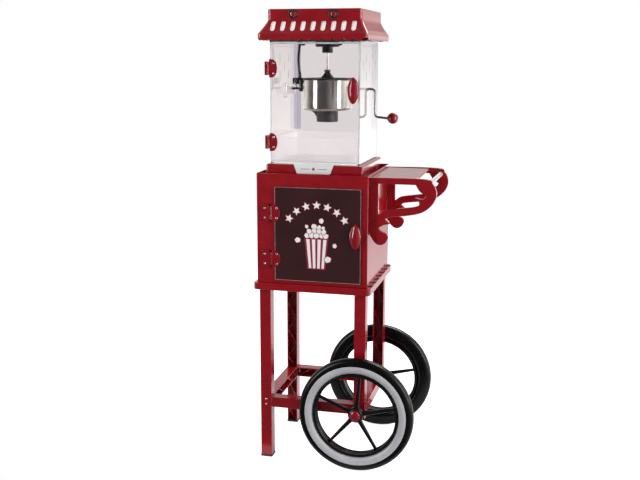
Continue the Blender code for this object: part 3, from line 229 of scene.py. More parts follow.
# Cured tyre rubber: black, with a soft bloom in patches and the scuffed streaks that run round
# the tread; the axle is along y, so the streaks are bands of y.
def curedRubber():
    return makeFinish(
        "curedTyreRubber", {"IOR": 1.52, "Specular IOR Level": 0.22},
        {"streak": [(1.0, 3.0), {"Scale": (14, 700, 14)}], "bloom": [(35.0, 4.0)]},
        colour=("bloom", "#040405", "#0a0a0b"), roughness=("streak", 0.16, 0.32),
        bump=("streak", 0.3, 0.0002))


# White-wall ring: white vinyl pressed to a soft dome, a little grey from handling.
def whiteVinyl():
    return makeFinish(
        "pressedWhiteVinyl", {"IOR": 1.53}, {"soil": [(25.0, 5.0)]},
        colour=("soil", "#b9b9be", "#cacace"), roughness=("soil", 0.30, 0.42),
        bump=("soil", 0.12, 0.0003))


# Cast acrylic sheet with flame-polished edges: almost nothing but reflections and a trace of
# cool grey in its depth. Very faint waves bend what is seen through it. The index is kept low,
# as in a thinner sheet, so that the polished edges stay pale.
def castAcrylic(name, tint, roughness, waves):
    return makeFinish(
        name, {"Base Color": linearColour(tint), "Roughness": roughness, "IOR": 1.20,
               "Transmission Weight": 1.0},
        {"wave": [(9.0, 1.0)]}, bump=("wave", waves, 0.002))


# The popcorn tray: clear styrene thermoformed thin, so it is milky where it was stretched. Its faint white
# emission is painted light, a glow standing in for the soft white it lets through; the index is kept low
# because the real wall is thinner than drawn.
def frostedTray():
    return makeFinish(
        "thermoformedStyreneGlow",
        {"IOR": 1.12, "Transmission Weight": 0.80, "Specular IOR Level": 0.3,
         "Emission Color": linearColour("#ffffff"), "Emission Strength": 0.13},
        {"cloud": [(16.0, 3.0)]}, colour=("cloud", "#f5f3f4", "#fbfafb"),
        roughness=("cloud", 0.12, 0.30), bump=("cloud", 0.1, 0.001))


# Smoked acrylic: the same sheet dyed brown-black right through, so it is nearly opaque; soft
# wiping marks show in its gloss.
def smokedAcrylic():
    return makeFinish(
        "smokedAcrylic", {"IOR": 1.49, "Coat Weight": 0.3, "Coat Roughness": 0.03},
        {"depth": [(7.0, 2.0)], "wiped": [(26.0, 5.0, 1.2)]},
        colour=("depth", "#2c1517", "#3a1d20"), roughness=("wiped", 0.05, 0.12))


# Polished edge of an acrylic sheet: light gathers there, and the paler line drawn there is a painted
# highlight, brown in the smoked sheet and grey-white in the clear one.
def litEdge(name, low, high):
    return makeFinish(name, {"IOR": 1.49}, {"gather": [(40.0, 2.0)]}, colour=("gather", low, high),
                      roughness=("gather", 0.12, 0.25))


# Screen-printed ink: flat, slightly matt, with the small thick and thin spots of a mesh print.
def screenInk(name, low, high, shine=0.5):
    return makeFinish(
        name, {"IOR": 1.48, "Specular IOR Level": shine}, {"mesh": [(500.0, 2.0)]},
        colour=("mesh", low, high), roughness=("mesh", 0.4, 0.55), bump=("mesh", 0.2, 0.00003))


# Cable sheath: extruded black PVC, satin, with faint rings from the die.
def extrudedPvc():
    return makeFinish(
        "extrudedBlackPvc", {"IOR": 1.53}, {"ring": [(700.0, 1.0)]},
        colour=("ring", "#26262a", "#34343a"), roughness=("ring", 0.32, 0.46),
        bump=("ring", 0.2, 0.00006))


# Opal diffuser: white acrylic that scatters the light behind the slots; its emission is painted light, a
# glow standing in for the lamp behind them.
def opalSheet():
    return makeFinish(
        "opalDiffuserGlow", {"IOR": 1.49, "Emission Color": linearColour("#fffaf2"),
                         "Emission Strength": 0.35},
        {"cloud": [(50.0, 2.0)]}, colour=("cloud", "#f1efea", "#fbfaf6"),
        roughness=("cloud", 0.35, 0.5))


enamel = bakedEnamel()
redAbs = mouldedRedAbs()
darkNylon = grainedBlackNylon()
kettleSteel = turnedSteel()
wireSteel = platedWire()
# Plated screws: the plating's grey, tinted pinkish as a painted reflection of the red enamel round them.
screwSteelRedReflection = platedWire("zincPlatedScrewRedReflection", "#c2b8b6", "#e2dcda", (0.16, 0.28))
tubeAluminium = anodisedTube()
rubber = curedRubber()
vinyl = whiteVinyl()
wheelBlack = grainedBlackNylon("glossBlackPolypropylene", "#060607", "#0e0e10", (0.20, 0.34), 0.28)
clearSheet = castAcrylic("castClearAcrylic", "#eeeaea", 0.015, 0.05)
# The right panel's sheet is the same acrylic tinted greyer: painted shade on that side.
shadedRightSheet = castAcrylic("castAcrylicShadedRight", "#dedada", 0.015, 0.05)
trayPlasticGlow = frostedTray()
hazeStrip = castAcrylic("mouldedHazyStrip", "#d6d5e4", 0.30, 0.2)
smoked = smokedAcrylic()
# Painted highlights: the door panels' edges are drawn as paler lines.
smokedEdgeHighlight = litEdge("smokedEdgePaintedHighlight", "#8f6f6c", "#b79c97")
clearEdgeHighlight = litEdge("clearEdgePaintedHighlight", "#dcd9dc", "#ecebed")
# Painted shade: a darker grey copy of the edge material for a corner of the case.
cornerShadeLine = litEdge("shadedClearEdge", "#8e8e90", "#a4a4a6")
whiteInk = screenInk("whiteScreenInk", "#efeced", "#ffffff")
redInk = screenInk("redScreenInk", "#8e1230", "#a31a3a")
labelWhite = screenInk("glossLabelWhite", "#e6e6e6", "#f4f4f4")
cablePvc = extrudedPvc()
# A dark ink with no shine: painted shade for openings.
openingPaintedShade = screenInk("shadowedOpening", "#1f0205", "#2c0407", 0.0)
opal = opalSheet()
blackAbs = grainedBlackNylon("mouldedBlackAbs", "#161618", "#232326", (0.25, 0.4))
ceilingPlastic = grainedBlackNylon("grainedCeilingPlastic", "#2e2e31", "#3c3c40", (0.4, 0.6))
print("materials made")


# surfaces: each is worked out as arrays of points and turned into faces


# Quads between neighbouring points of a rows x columns grid.
def gridFaces(rows, columns, closeRows, closeColumns):
    r = np.arange(rows if closeRows else rows - 1)
    c = np.arange(columns if closeColumns else columns - 1)
    r, c = np.meshgrid(r, c, indexing="ij")
    r2, c2 = (r + 1) % rows, (c + 1) % columns
    quads = np.stack([r * columns + c, r * columns + c2, r2 * columns + c2, r2 * columns + c], -1)
    return quads.reshape(-1, 4)


# Points (rows, columns, 3) as (vertices, faces); capped closes both end rings flat.
def gridSurface(points, closeRows=False, closeColumns=True, capped=False):
    rows, columns = points.shape[:2]
    vertices = points.reshape(-1, 3)
    faces = gridFaces(rows, columns, closeRows, closeColumns).tolist()
    if capped:
        faces.append(list(range(columns))[::-1])
        faces.append(list(range((rows - 1) * columns, rows * columns)))
    return vertices, faces


# A profile of (radius, height) turned round an axis: x = r cos a, y = r sin a, z = h. A profile
# that starts and ends at radius 0, or is closed, makes a closed skin.
def turnedSurface(profile, centre, axis="z", steps=64, closed=False):
    profile = np.asarray(profile, float)
    angle = np.linspace(0, 2 * np.pi, steps, endpoint=False)
    radius, height = profile[:, :1], profile[:, 1:2]
    a, b = radius * np.cos(angle), radius * np.sin(angle)
    h = height + 0 * angle
    order = {"z": (a, b, h), "y": (a, h, b), "x": (h, a, b)}[axis]
    return gridSurface(np.stack(order, -1) + np.asarray(centre, float), closeRows=closed)


# Corners of a (radius, height) line rounded: each corner becomes a short quadratic bend.
def roundedProfile(points, radius, steps=4):
    points = [np.asarray(p, float) for p in points]
    line = [points[0]]
    for before, corner, after in zip(points, points[1:], points[2:]):
        back, ahead = before - corner, after - corner
        reach = min(radius, np.linalg.norm(back) * 0.45, np.linalg.norm(ahead) * 0.45)
        start = corner + back / np.linalg.norm(back) * reach
        end = corner + ahead / np.linalg.norm(ahead) * reach
        for t in np.linspace(0, 1, steps + 1):
            line.append(start * (1 - t) ** 2 + corner * 2 * t * (1 - t) + end * t ** 2)
    line.append(points[-1])
    return np.array(line)


# A section (columns, 2) carried along a path (rows, 3): point = path + s.x * across + s.y * up,
# where across = tangent x side. scale is (rows,) or (rows, 2).
def carriedSurface(path, section, side, scale=None, capped=True):
    path, section = np.asarray(path, float), np.asarray(section, float)
    tangent = np.gradient(path, axis=0)
    tangent /= np.linalg.norm(tangent, axis=1, keepdims=True)
    across = np.cross(tangent, np.asarray(side, float))
    across /= np.linalg.norm(across, axis=1, keepdims=True)
    up = np.cross(across, tangent)
    factor = np.ones((len(path), 2)) if scale is None else np.asarray(scale, float)
    if factor.ndim == 1:
        factor = np.stack([factor, factor], -1)
    first = section[None, :, 0:1] * factor[:, None, 0:1] * across[:, None]
    second = section[None, :, 1:2] * factor[:, None, 1:2] * up[:, None]
    return gridSurface(path[:, None] + first + second, capped=capped)


def circleSection(radius, steps=20):
    angle = np.linspace(0, 2 * np.pi, steps, endpoint=False)
    return np.stack([radius * np.cos(angle), radius * np.sin(angle)], -1)


# Straight runs joined by bends of a set radius, as points.
def bentPath(points, radius, steps=10):
    points = [np.asarray(p, float) for p in points]
    line = [points[0]]
    for before, bend, after in zip(points, points[1:], points[2:]):
        back = (before - bend) / np.linalg.norm(before - bend)
        ahead = (after - bend) / np.linalg.norm(after - bend)
        corner = math.acos(float(np.clip(back @ ahead, -1, 1)))
        reach = radius / math.tan(corner / 2)
        centre = bend + (back + ahead) / np.linalg.norm(back + ahead) * radius / math.sin(corner / 2)
        start, end = bend + back * reach, bend + ahead * reach
        sweep = math.pi - corner
        u = (start - centre) / radius
        v = (end - centre) / radius
        for t in np.linspace(0, 1, steps + 1):
            line.append(centre + radius * (u * math.sin((1 - t) * sweep) + v * math.sin(t * sweep))
                        / math.sin(sweep))
    line.append(points[-1])
    return np.array(line)


# A smooth line through points: Catmull-Rom pieces, worked out for all steps at once.
def splinePath(points, steps):
    p = np.asarray(points, float)
    p = np.vstack([2 * p[0] - p[1], p, 2 * p[-1] - p[-2]])
    t = np.linspace(0, 1, steps, endpoint=False)[None, :, None]
    a, b, c, d = (p[i:len(p) - 3 + i][:, None] for i in range(4))
    line = 0.5 * (2 * b + (c - a) * t + (2 * a - 5 * b + 4 * c - d) * t ** 2
                  + (3 * b - a - 3 * c + d) * t ** 3)
    return np.vstack([line.reshape(-1, p.shape[1]), p[-2]])


# Outward direction at each point of an anticlockwise loop.
def loopNormals(loop):
    along = np.roll(loop, -1, 0) - np.roll(loop, 1, 0)
    normal = np.stack([along[:, 1], -along[:, 0]], -1)
    return normal / np.maximum(np.linalg.norm(normal, axis=1, keepdims=True), 1e-12)


def signedArea(loop):
    return 0.5 * float(np.sum(loop[:, 0] * np.roll(loop[:, 1], -1) - np.roll(loop[:, 0], -1)
                              * loop[:, 1]))


# A flat plate inside the first loop, with holes at the others. The edge of every loop is a quarter
# round: inset = r (1 - cos a), height = r sin a. place turns (a, b, height) into x, y, z.
def plateSurface(loops, thickness, rounding, place, bothSides=True, steps=3):
    angles = np.linspace(0, np.pi / 2, steps + 1) if rounding > 0 else np.array([0.0])
    insets = rounding * (1 - np.cos(angles))
    rises = rounding * (1 - np.sin(angles))
    ringInset = np.concatenate([insets[::-1] if bothSides else insets[:1], insets])
    ringHeight = np.concatenate([rises[::-1] if bothSides else rises[:1] * 0, thickness - rises])
    vertices, faces, lowCap, highCap, count = [], [], [], [], 0
    for number, loop in enumerate(loops):
        loop = np.asarray(loop, float)
        loop = loop if (signedArea(loop) > 0) == (number == 0) else loop[::-1]
        rings = loop[None] - loopNormals(loop)[None] * ringInset[:, None, None]
        points = np.concatenate([rings, np.broadcast_to(ringHeight[:, None, None],
                                                        rings.shape[:2] + (1,))], -1)
        faces += (gridFaces(len(ringInset), len(loop), False, True) + count).tolist()
        vertices.append(points.reshape(-1, 3))
        lowCap.append((count, points[0]))
        highCap.append((count + (len(ringInset) - 1) * len(loop), points[-1]))
        count += points.shape[0] * len(loop)
    for cap in (lowCap, highCap):
        index = np.concatenate([np.arange(len(ring)) + start for start, ring in cap])
        shape = [[Vector((p[0], p[1], 0)) for p in ring] for start, ring in cap]
        faces += [[int(index[i]) for i in triangle] for triangle in tessellate_polygon(shape)]
    flat = np.concatenate(vertices)
    return place(flat[:, 0], flat[:, 1], flat[:, 2]), faces


# Places on a flat face: given the directions of a and b on it and of the height off it, gives a
# function of the face's origin, which turns (a, b, height) into x, y, z.
def faceThat(alongA, alongB, off):
    return lambda *origin: lambda a, b, h: np.stack(
        [o + a * i + b * j + h * k for o, i, j, k in zip(origin, alongA, alongB, off)], -1)


frontFace = faceThat((1, 0, 0), (0, 0, 1), (0, -1, 0))
rearFace = faceThat((-1, 0, 0), (0, 0, 1), (0, 1, 0))
rightFace = faceThat((0, 1, 0), (0, 0, 1), (1, 0, 0))
leftFace = faceThat((0, -1, 0), (0, 0, 1), (-1, 0, 0))
topFace = faceThat((1, 0, 0), (0, 1, 0), (0, 0, 1))
underFace = faceThat((1, 0, 0), (0, -1, 0), (0, 0, -1))


# A rectangle with round corners, anticlockwise round the origin.
def roundedBox(width, height, radius, steps=5):
    quarter = np.linspace(0, np.pi / 2, steps)
    corners = []
    for turn, (sx, sy) in enumerate(((1, 1), (-1, 1), (-1, -1), (1, -1))):
        angle = quarter + turn * np.pi / 2
        centre = np.array([sx * (width / 2 - radius), sy * (height / 2 - radius)])
        corners.append(centre + radius * np.stack([np.cos(angle), np.sin(angle)], -1))
    return np.concatenate(corners)


# One mesh from several closed surfaces, merged, turned outwards and hung on a body.
def makePiece(name, surfaces, material, body, stands=(), smoothAngle=40):
    mesh = bpy.data.meshes.new(name)
    vertices, faces, count = [], [], 0
    for points, quads in surfaces:
        vertices.append(np.asarray(points, float))
        faces += [[i + count for i in face] for face in quads]
        count += len(points)
    mesh.from_pydata(np.concatenate(vertices).tolist(), [], faces)
    shape = bmesh.new()
    shape.from_mesh(mesh)
    bmesh.ops.remove_doubles(shape, verts=shape.verts, dist=0.0000015)
    bmesh.ops.recalc_face_normals(shape, faces=shape.faces)
    shape.to_mesh(mesh)
    shape.free()
    return finishPiece(bpy.data.objects.new(name, mesh), material, body, stands, smoothAngle)


def finishPiece(piece, material, body, stands, smoothAngle):
    bpy.context.scene.collection.objects.link(piece)
    piece.data.materials.clear()
    piece.data.materials.append(material)
    piece.data.shade_smooth()
    piece.data.set_sharp_from_angle(angle=math.radians(smoothAngle))
    if body is not None:
        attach(piece, body)
    if stands:
        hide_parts(*stands)
    return piece


# Large faces keep their own direction, so a flat sheet shades flat beside a rounded edge.
def evenShading(piece):
    even = piece.modifiers.new("even shading", "WEIGHTED_NORMAL")
    even.keep_sharp = True
    even.weight = 80


# A merged copy of a CAD node with its sharp edges broken, as a folded or moulded edge is.
def softenNode(node, material, width=0.0006, segments=2):
    source = frame["nodes"][node]
    mesh = bpy.data.meshes.new(node + "_finished")
    shape = bmesh.new()
    shape.from_mesh(source.data)
    bmesh.ops.remove_doubles(shape, verts=shape.verts, dist=0.000002)
    bmesh.ops.dissolve_limit(shape, angle_limit=math.radians(0.6), verts=shape.verts,
                             edges=shape.edges)
    shape.to_mesh(mesh)
    shape.free()
    piece = bpy.data.objects.new(node + "_finished", mesh)
    piece = finishPiece(piece, material, source["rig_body"], [node], 38)
    bevel = piece.modifiers.new("broken edge", "BEVEL")
    bevel.width = width
    bevel.segments = segments
    bevel.limit_method = "ANGLE"
    bevel.angle_limit = math.radians(38)
    evenShading(piece)
    return piece


# Pan-head screws with a cross recess: height = dome * (1 - p^4) less a cross-shaped pit, over a
# grid of p (centre to rim) and angle.
def screwHeads(name, places, place, radius, material, body):
    p = np.linspace(0, 1, 13)[:, None]
    angle = np.linspace(0, 2 * np.pi, 48, endpoint=False)[None]
    a, b = radius * p * np.cos(angle), radius * p * np.sin(angle)
    height = radius * 0.42 * (1 - p ** 4) + radius * 0.10
    width, reach = radius * 0.17, radius * 0.62
    inArms = np.maximum(np.minimum(np.abs(a) < width, np.abs(b) < reach),
                        np.minimum(np.abs(b) < width, np.abs(a) < reach))
    height = height * np.ones_like(a) - inArms * radius * 0.34
    a, b = np.vstack([a, a[-1:]]), np.vstack([b, b[-1:]])
    height = np.vstack([height, np.full((1, 48), -radius * 0.05)])
    surfaces = []
    for x, z in places:
        points = place(a + x, b + z, height)
        surfaces.append(gridSurface(points, capped=False))
        foot = len(points) * 48 - 48
        surfaces[-1][1].append(list(range(foot, foot + 48)))
    return makePiece(name, surfaces, material, body, smoothAngle=30)


print("tools ready")


# stand and cabinet: the sheet pieces keep the CAD shape, with their folded edges broken

sheetEdges = {"cabinet": 0.0008, "legs": 0.0007, "base": 0.0006, "shelf": 0.0010}

for node in ("cabinet_front_frame", "cabinet_left_panel", "cabinet_right_panel",
             "cabinet_rear_panel", "cabinet_top_deck", "cabinet_floor_tray"):
    softenNode(node, enamel, sheetEdges["cabinet"])
for node in ("front_left_leg", "front_right_leg", "rear_left_leg", "rear_right_leg",
             "front_rail", "rear_rail", "left_rail", "right_rail"):
    softenNode(node, enamel, sheetEdges["legs"])
softenNode("popper_base", enamel, sheetEdges["base"])
softenNode("side_shelf", enamel, sheetEdges["shelf"])
print("cabinet and stand finished")


# scroll brackets: a smooth outline with a scroll window, edges rounded all round

bracketShape = {
    "rounding": 0.0016,
    "strip": 0.0234,
    "body": [(0, 0, 1), (0.1403, 0, 0), (0.1638, -0.0125, 0), (0.1733, -0.0380, 0),
             (0.1628, -0.0650, 0), (0.1373, -0.0860, 0), (0.1003, -0.0957, 0), (0.052, -0.1020, 0),
             (0.0430, -0.1085, 0), (0.0550, -0.1196, 1), (0.0385, -0.1232, 0), (0.0262, -0.1310, 0),
             (0.0330, -0.1405, 0), (0.0455, -0.1465, 0), (0.0498, -0.1560, 0), (0.0425, -0.1706, 0),
             (0.0290, -0.1763, 0), (0.0150, -0.1705, 0), (0, -0.1488, 1)],
    "window": [(0.0234, -0.0155, 1), (0.0234, -0.0956, 1), (0.0400, -0.0845, 0),
               (0.0750, -0.0785, 0), (0.1200, -0.0715, 0), (0.1290, -0.0620, 0),
               (0.1190, -0.0475, 1), (0.1380, -0.0520, 0), (0.1454, -0.0427, 1),
               (0.1300, -0.0320, 0), (0.1190, -0.0155, 1)]}


# Hermite pieces through (x, z, corner) points; straight beside corners.
def scrollLoop(points, steps=10):
    p = np.array([q[:2] for q in points], float)
    corner = np.array([q[2] for q in points], bool)
    after, before = np.roll(p, -1, 0), np.roll(p, 1, 0)
    beyond = np.roll(p, -2, 0)
    nextCorner = np.roll(corner, -1)
    leave = np.where(corner[:, None], after - p, (after - before) / 2)
    arrive = np.where(nextCorner[:, None], after - p, (beyond - p) / 2)
    t = np.linspace(0, 1, steps, endpoint=False)[None, :, None]
    curve = (p[:, None] * (2 * t ** 3 - 3 * t ** 2 + 1) + after[:, None] * (3 * t ** 2 - 2 * t ** 3)
             + leave[:, None] * (t ** 3 - 2 * t ** 2 + t) + arrive[:, None] * (t ** 3 - t ** 2))
    return curve.reshape(-1, 2)


def makeBracket(node):
    low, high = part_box(node)
    loops = [scrollLoop(bracketShape["body"]), scrollLoop(bracketShape["window"])]
    plate = plateSurface(loops, high.y - low.y, bracketShape["rounding"],
                         frontFace(low.x, high.y, high.z))
    makePiece(node + "_scroll", [plate], enamel, "cart", [node])


makeBracket("front_bracket")
makeBracket("rear_bracket")

barLow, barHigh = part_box("handle_bar")
barShape = {"collar": 0.0009, "collarLength": 0.006}


# The push bar is a tube with a thin collar at each end: radius against length.
def makeBar(values):
    radius = (barHigh.x - barLow.x) / 2
    length = barHigh.y - barLow.y
    big, run = radius + values["collar"], values["collarLength"]
    profile = roundedProfile([(0, 0), (big, 0), (big, run), (radius, run + 0.001),
                              (radius, length - run - 0.001), (big, length - run), (big, length),
                              (0, length)], 0.0005)
    centre = ((barLow.x + barHigh.x) / 2, barLow.y, (barLow.z + barHigh.z) / 2)
    makePiece("push_bar_tube", [turnedSurface(profile, centre, "y", 48)], tubeAluminium, "cart",
              ["handle_bar"])


makeBar(barShape)
print("side shelf finished")


# wheels

tyreLow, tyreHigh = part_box("front_tyre")
wheelShape = {"tyreBore": 0.1153, "bulge": 0.72, "treadRibs": 5, "ribDepth": 0.0005,
              "whiteInner": 0.1150, "whiteOuter": 0.1375, "whiteRise": 0.0019,
              "rimWall": 0.0066, "rimHalf": 0.0145, "spokes": 5, "firstSpoke": math.radians(85),
              "spokeWide": 0.0064, "spokeNarrow": 0.0038, "spokeDeep": 0.0048,
              "hubRadius": 0.021, "hubHalf": 0.012, "capRadius": 0.0148, "capRise": 0.0072}


def bentPower(value, power):
    return np.sign(value) * np.abs(value) ** power


# Tyre section: r = rc + a c^k, y = b s^k (a squarish oval), with shallow ribs round the tread;
# carried round the axle.
def makeTyre(name, centre, outward, values):
    radius = (tyreHigh.z - tyreLow.z) / 2
    halfWidth = (tyreHigh.y - tyreLow.y) / 2
    middle, reach = (radius + values["tyreBore"]) / 2, (radius - values["tyreBore"]) / 2
    v = np.linspace(0, 2 * np.pi, 72, endpoint=False)
    c, s = bentPower(np.cos(v), values["bulge"]), bentPower(np.sin(v), values["bulge"])
    tread = np.clip(np.cos(v) * 1.6 - 0.6, 0, 1)
    ribs = values["ribDepth"] * tread * (0.5 + 0.5 * np.cos(s * np.pi * values["treadRibs"]))
    profile = np.stack([middle + reach * c - ribs, halfWidth * s], -1)
    makePiece(name + "_tyre_skin", [turnedSurface(profile, centre, "y", 160, closed=True)],
              rubber, name + "_wheel", [name + "_tyre"], 60)
    # the white ring: a lens section whose outer face bows outwards
    t = np.linspace(0, 1, 25)
    ring = values["whiteInner"] + (values["whiteOuter"] - values["whiteInner"]) * t
    inward = np.clip((ring - middle) / reach, -1, 1)
    under = halfWidth * np.abs(1 - np.abs(inward) ** (2 / values["bulge"])) ** (values["bulge"] / 2)
    top = under + values["whiteRise"] * np.sin(np.pi * np.clip(t, 0.001, 0.999)) ** 0.75
    lens = np.concatenate([np.stack([ring, outward * top], -1),
                           np.stack([ring, outward * (under - 0.0008)], -1)[::-1]])
    makePiece(name + "_white_ring", [turnedSurface(lens, centre, "y", 160, closed=True)],
              vinyl, name + "_wheel", (), 50)


# Rim barrel with rolled lips, five tapering spokes and a hub: profiles turned round the axle, and
# an oval section carried along each spoke.
def makeWheel(name, centre, outward, values):
    outer = values["tyreBore"] - 0.0003
    inner = outer - values["rimWall"]
    half = values["rimHalf"]
    rim = roundedProfile([(outer - 0.003, half), (outer, half), (outer, -half), (inner, -half),
                          (inner, -half + 0.003), (inner + 0.0022, -half + 0.0045),
                          (inner + 0.0022, half - 0.0045), (inner, half - 0.003), (inner, half),
                          (outer - 0.003, half)], 0.0010)
    surfaces = [turnedSurface(rim[:-1], centre, "y", 128, closed=True)]
    t = np.linspace(0, 1, 24)
    wide = (values["spokeWide"] * (1 - t) + values["spokeNarrow"] * t
            + 0.0035 * np.clip((0.14 - t) / 0.14, 0, 1) ** 2
            + 0.0035 * np.clip((t - 0.90) / 0.10, 0, 1) ** 2)
    deep = values["spokeDeep"] * (1 - 0.25 * t)
    angle = np.linspace(0, 2 * np.pi, 20, endpoint=False)
    section = np.stack([bentPower(np.cos(angle), 0.7), bentPower(np.sin(angle), 0.7)], -1)
    for number in range(values["spokes"]):
        turn = values["firstSpoke"] + number * 2 * math.pi / values["spokes"]
        along = values["hubRadius"] * 0.7 + t * (inner + 0.0045 - values["hubRadius"] * 0.7)
        path = np.stack([along * math.cos(turn), 0 * along, along * math.sin(turn)], -1) + centre
        surfaces.append(carriedSurface(path, section, (0, 1, 0), np.stack([wide, deep], -1)))
    h, r = values["hubHalf"], values["hubRadius"]
    hub = roundedProfile([(0.0055, h), (r * 0.78, h), (r * 0.86, h - 0.0012), (r, h * 0.55),
                          (r, -h * 0.55), (r * 0.86, -h + 0.0012), (r * 0.78, -h),
                          (0.0055, -h), (0.0055, h)], 0.0012)
    surfaces.append(turnedSurface(hub[:-1], centre, "y", 64, closed=True))
    makePiece(name + "_wheel_moulding", surfaces, wheelBlack, name + "_wheel", [name + "_wheel"],
              42)
    # hub cap: a low dome with a small step at its rim
    radius, rise = values["capRadius"], values["capRise"]
    face = centre[1] + outward * (h + 0.0003)
    a = np.linspace(0, np.pi / 2, 14)
    dome = np.stack([radius * 0.92 * np.sin(a), 0.0016 + (rise - 0.0016) * np.cos(a)], -1)
    cap = np.vstack([dome, [(radius * 0.96, 0.0016), (radius, 0.0012), (radius, 0.0), (0, 0)]])
    cap[:, 1] *= outward
    makePiece(name + "_cap_dome", [turnedSurface(cap, (centre[0], face, centre[2]), "y", 48)],
              redAbs, name + "_wheel", [name + "_hub_cap"], 50)


for row, outward in (("front", -1), ("rear", 1)):
    low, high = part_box(row + "_tyre")
    centre = np.array([(low.x + high.x) / 2, (low.y + high.y) / 2, (low.z + high.z) / 2])
    makeTyre(row, centre, outward, wheelShape)
    makeWheel(row, centre, outward, wheelShape)
print("wheels finished")


# canopy: one shell whose rings follow the roof's profile; the hem hangs in scallops

canopyShape = {"bandHalf": 0.1243, "bandFront": 0.1265, "bandBack": 0.1351, "bandHeight": 0.0285,
               "awningHeight": 0.0348, "valanceHeight": 0.0160, "sheet": 0.0020, "corner": 0.009,
               "scallops": 10, "scallopDepth": 0.0070, "topRound": 0.003, "slots": 9,
               "slotPitch": 0.0266, "slotWidth": 0.0122, "slotHeight": 0.0255, "slotRise": 0.58,
               "switchX": (-0.0561, 0.0502), "switchDrop": 0.0134, "switchHole": 0.0087,
               "lobePoints": 14, "cornerPoints": 8}


# A rounded rectangle with evenly spaced columns on each side, and each column's place along its
# side in lobes (corners count as no lobe).
def canopyRing(halfX, front, back, values):
    sides, phases = [], []
    steps = values["scallops"] * values["lobePoints"]
    straight = values["corner"]
    corners = ((halfX, -front), (halfX, back), (-halfX, back), (-halfX, -front))
    start = (-halfX + straight, -front)
    for number, (cx, cy) in enumerate(corners):
        out = np.array([np.sign(cx), np.sign(cy)])
        turn = -np.pi / 2 + number * np.pi / 2
        centre = np.array([cx, cy]) - out * straight
        angle = turn + np.linspace(0, np.pi / 2, values["cornerPoints"])
        first = centre + straight * np.array([math.cos(turn), math.sin(turn)])
        t = np.linspace(0, 1, steps, endpoint=False)[:, None]
        run = np.array(start) * (1 - t) + first * t
        sides += [run, centre + straight * np.stack([np.cos(angle), np.sin(angle)], -1)[:-1]]
        phases += [t[:, 0] * values["scallops"], np.full(len(angle) - 1, 0.0)]
        start = centre + straight * np.array([math.cos(turn + np.pi / 2), math.sin(turn + np.pi / 2)])
    return np.concatenate(sides), np.concatenate(phases)


def makeCanopy(values):
    top = canopyHigh.z
    bandBottom = top - values["bandHeight"]
    eave = bandBottom - values["awningHeight"]
    eaveHalf = (canopyHigh.x - canopyLow.x) / 2
    eaveFront, eaveBack = -canopyLow.y, canopyHigh.y
    band = (values["bandHalf"], values["bandFront"], values["bandBack"])
    out = np.array([eaveHalf, eaveFront, eaveBack])
    rows = []
    for a in np.linspace(0, np.pi / 2, 5):
        inset = values["topRound"] * (1 - np.sin(a))
        rows.append((np.array(band) - inset, top - values["topRound"] * (1 - np.cos(a)), 0))
    rows.append((np.array(band), bandBottom + 0.0022, 0))
    slope = np.linspace(0, 1, 9)
    # the awning flares: straight, with a soft crease at its top and at the eave
    for t in slope:
        flare = t ** 1.12
        rows.append((np.array(band) + (out - band) * flare,
                     bandBottom - values["awningHeight"] * t + (0.0006 if t == 0 else 0), 0))
    rows.append((out, eave - 0.0022, 0))
    for t in (0.35, 0.7, 1.0):
        rows.append((out, eave - 0.0022 - (values["valanceHeight"] - 0.0022) * t, t))
    outer, inner = [], []
    for dims, z, hang in rows:
        for inset, store in ((0.0, outer), (values["sheet"], inner)):
            ring, phase = canopyRing(dims[0] - inset, dims[1] - inset, dims[2] - inset, values)
            lobe = np.sqrt(np.abs(np.sin(np.pi * phase)))
            lift = values["scallopDepth"] * (1 - lobe) * hang
            low = z - (inset if z > bandBottom + 0.01 else 0) + lift
            store.append(np.concatenate([ring, (low * np.ones(len(ring)))[:, None]], -1))
    rings = np.array(outer + inner[::-1])
    shell = gridSurface(rings, capped=True)
    shell[1][-2], shell[1][-1] = shell[1][-2][::-1], shell[1][-1][::-1]
    moved = (shell[0] + np.array([middleX, 0, 0]), shell[1])
    piece = makePiece("canopy_shell", [moved], enamel, "cart", ["canopy"], 35)
    cutCanopy(piece, values, eave)


# Slots and switch holes: round-ended prisms taken out of the shell in one boolean.
def cutCanopy(piece, values, eave):
    slot = roundedBox(values["slotWidth"], values["slotHeight"], values["slotWidth"] / 2 - 0.0001, 10)
    offsets = (np.arange(values["slots"]) - (values["slots"] - 1) / 2) * values["slotPitch"]
    z = eave + values["awningHeight"] * values["slotRise"]
    tools = [plateSurface([slot], 0.06, 0, frontFace(middleX + x, -values["bandFront"] + 0.012, z))
             for x in offsets]
    tools += [plateSurface([slot], 0.33, 0, rightFace(middleX - 0.165, y, z)) for y in offsets]
    hole = circleSection(values["switchHole"], 40)
    switchZ = canopyHigh.z - values["switchDrop"]
    tools += [plateSurface([hole], 0.03, 0, frontFace(middleX + x, -values["bandFront"] + 0.012, switchZ))
              for x in values["switchX"]]
    cutter = makePiece("canopy_cutter", tools, enamel, None)
    boolean = piece.modifiers.new("slots", "BOOLEAN")
    boolean.operation, boolean.solver, boolean.object = "DIFFERENCE", "EXACT", cutter
    graph = bpy.context.evaluated_depsgraph_get()
    mesh = bpy.data.meshes.new_from_object(piece.evaluated_get(graph))
    piece.modifiers.clear()
    piece.data = mesh
    bpy.data.objects.remove(cutter, do_unlink=True)
    piece.data.materials.clear()
    piece.data.materials.append(enamel)
    piece.data.shade_smooth()
    piece.data.set_sharp_from_angle(angle=math.radians(35))
    evenShading(piece)


makeCanopy(canopyShape)

diffuserShape = {"inset": 0.0030, "thickness": 0.0012}
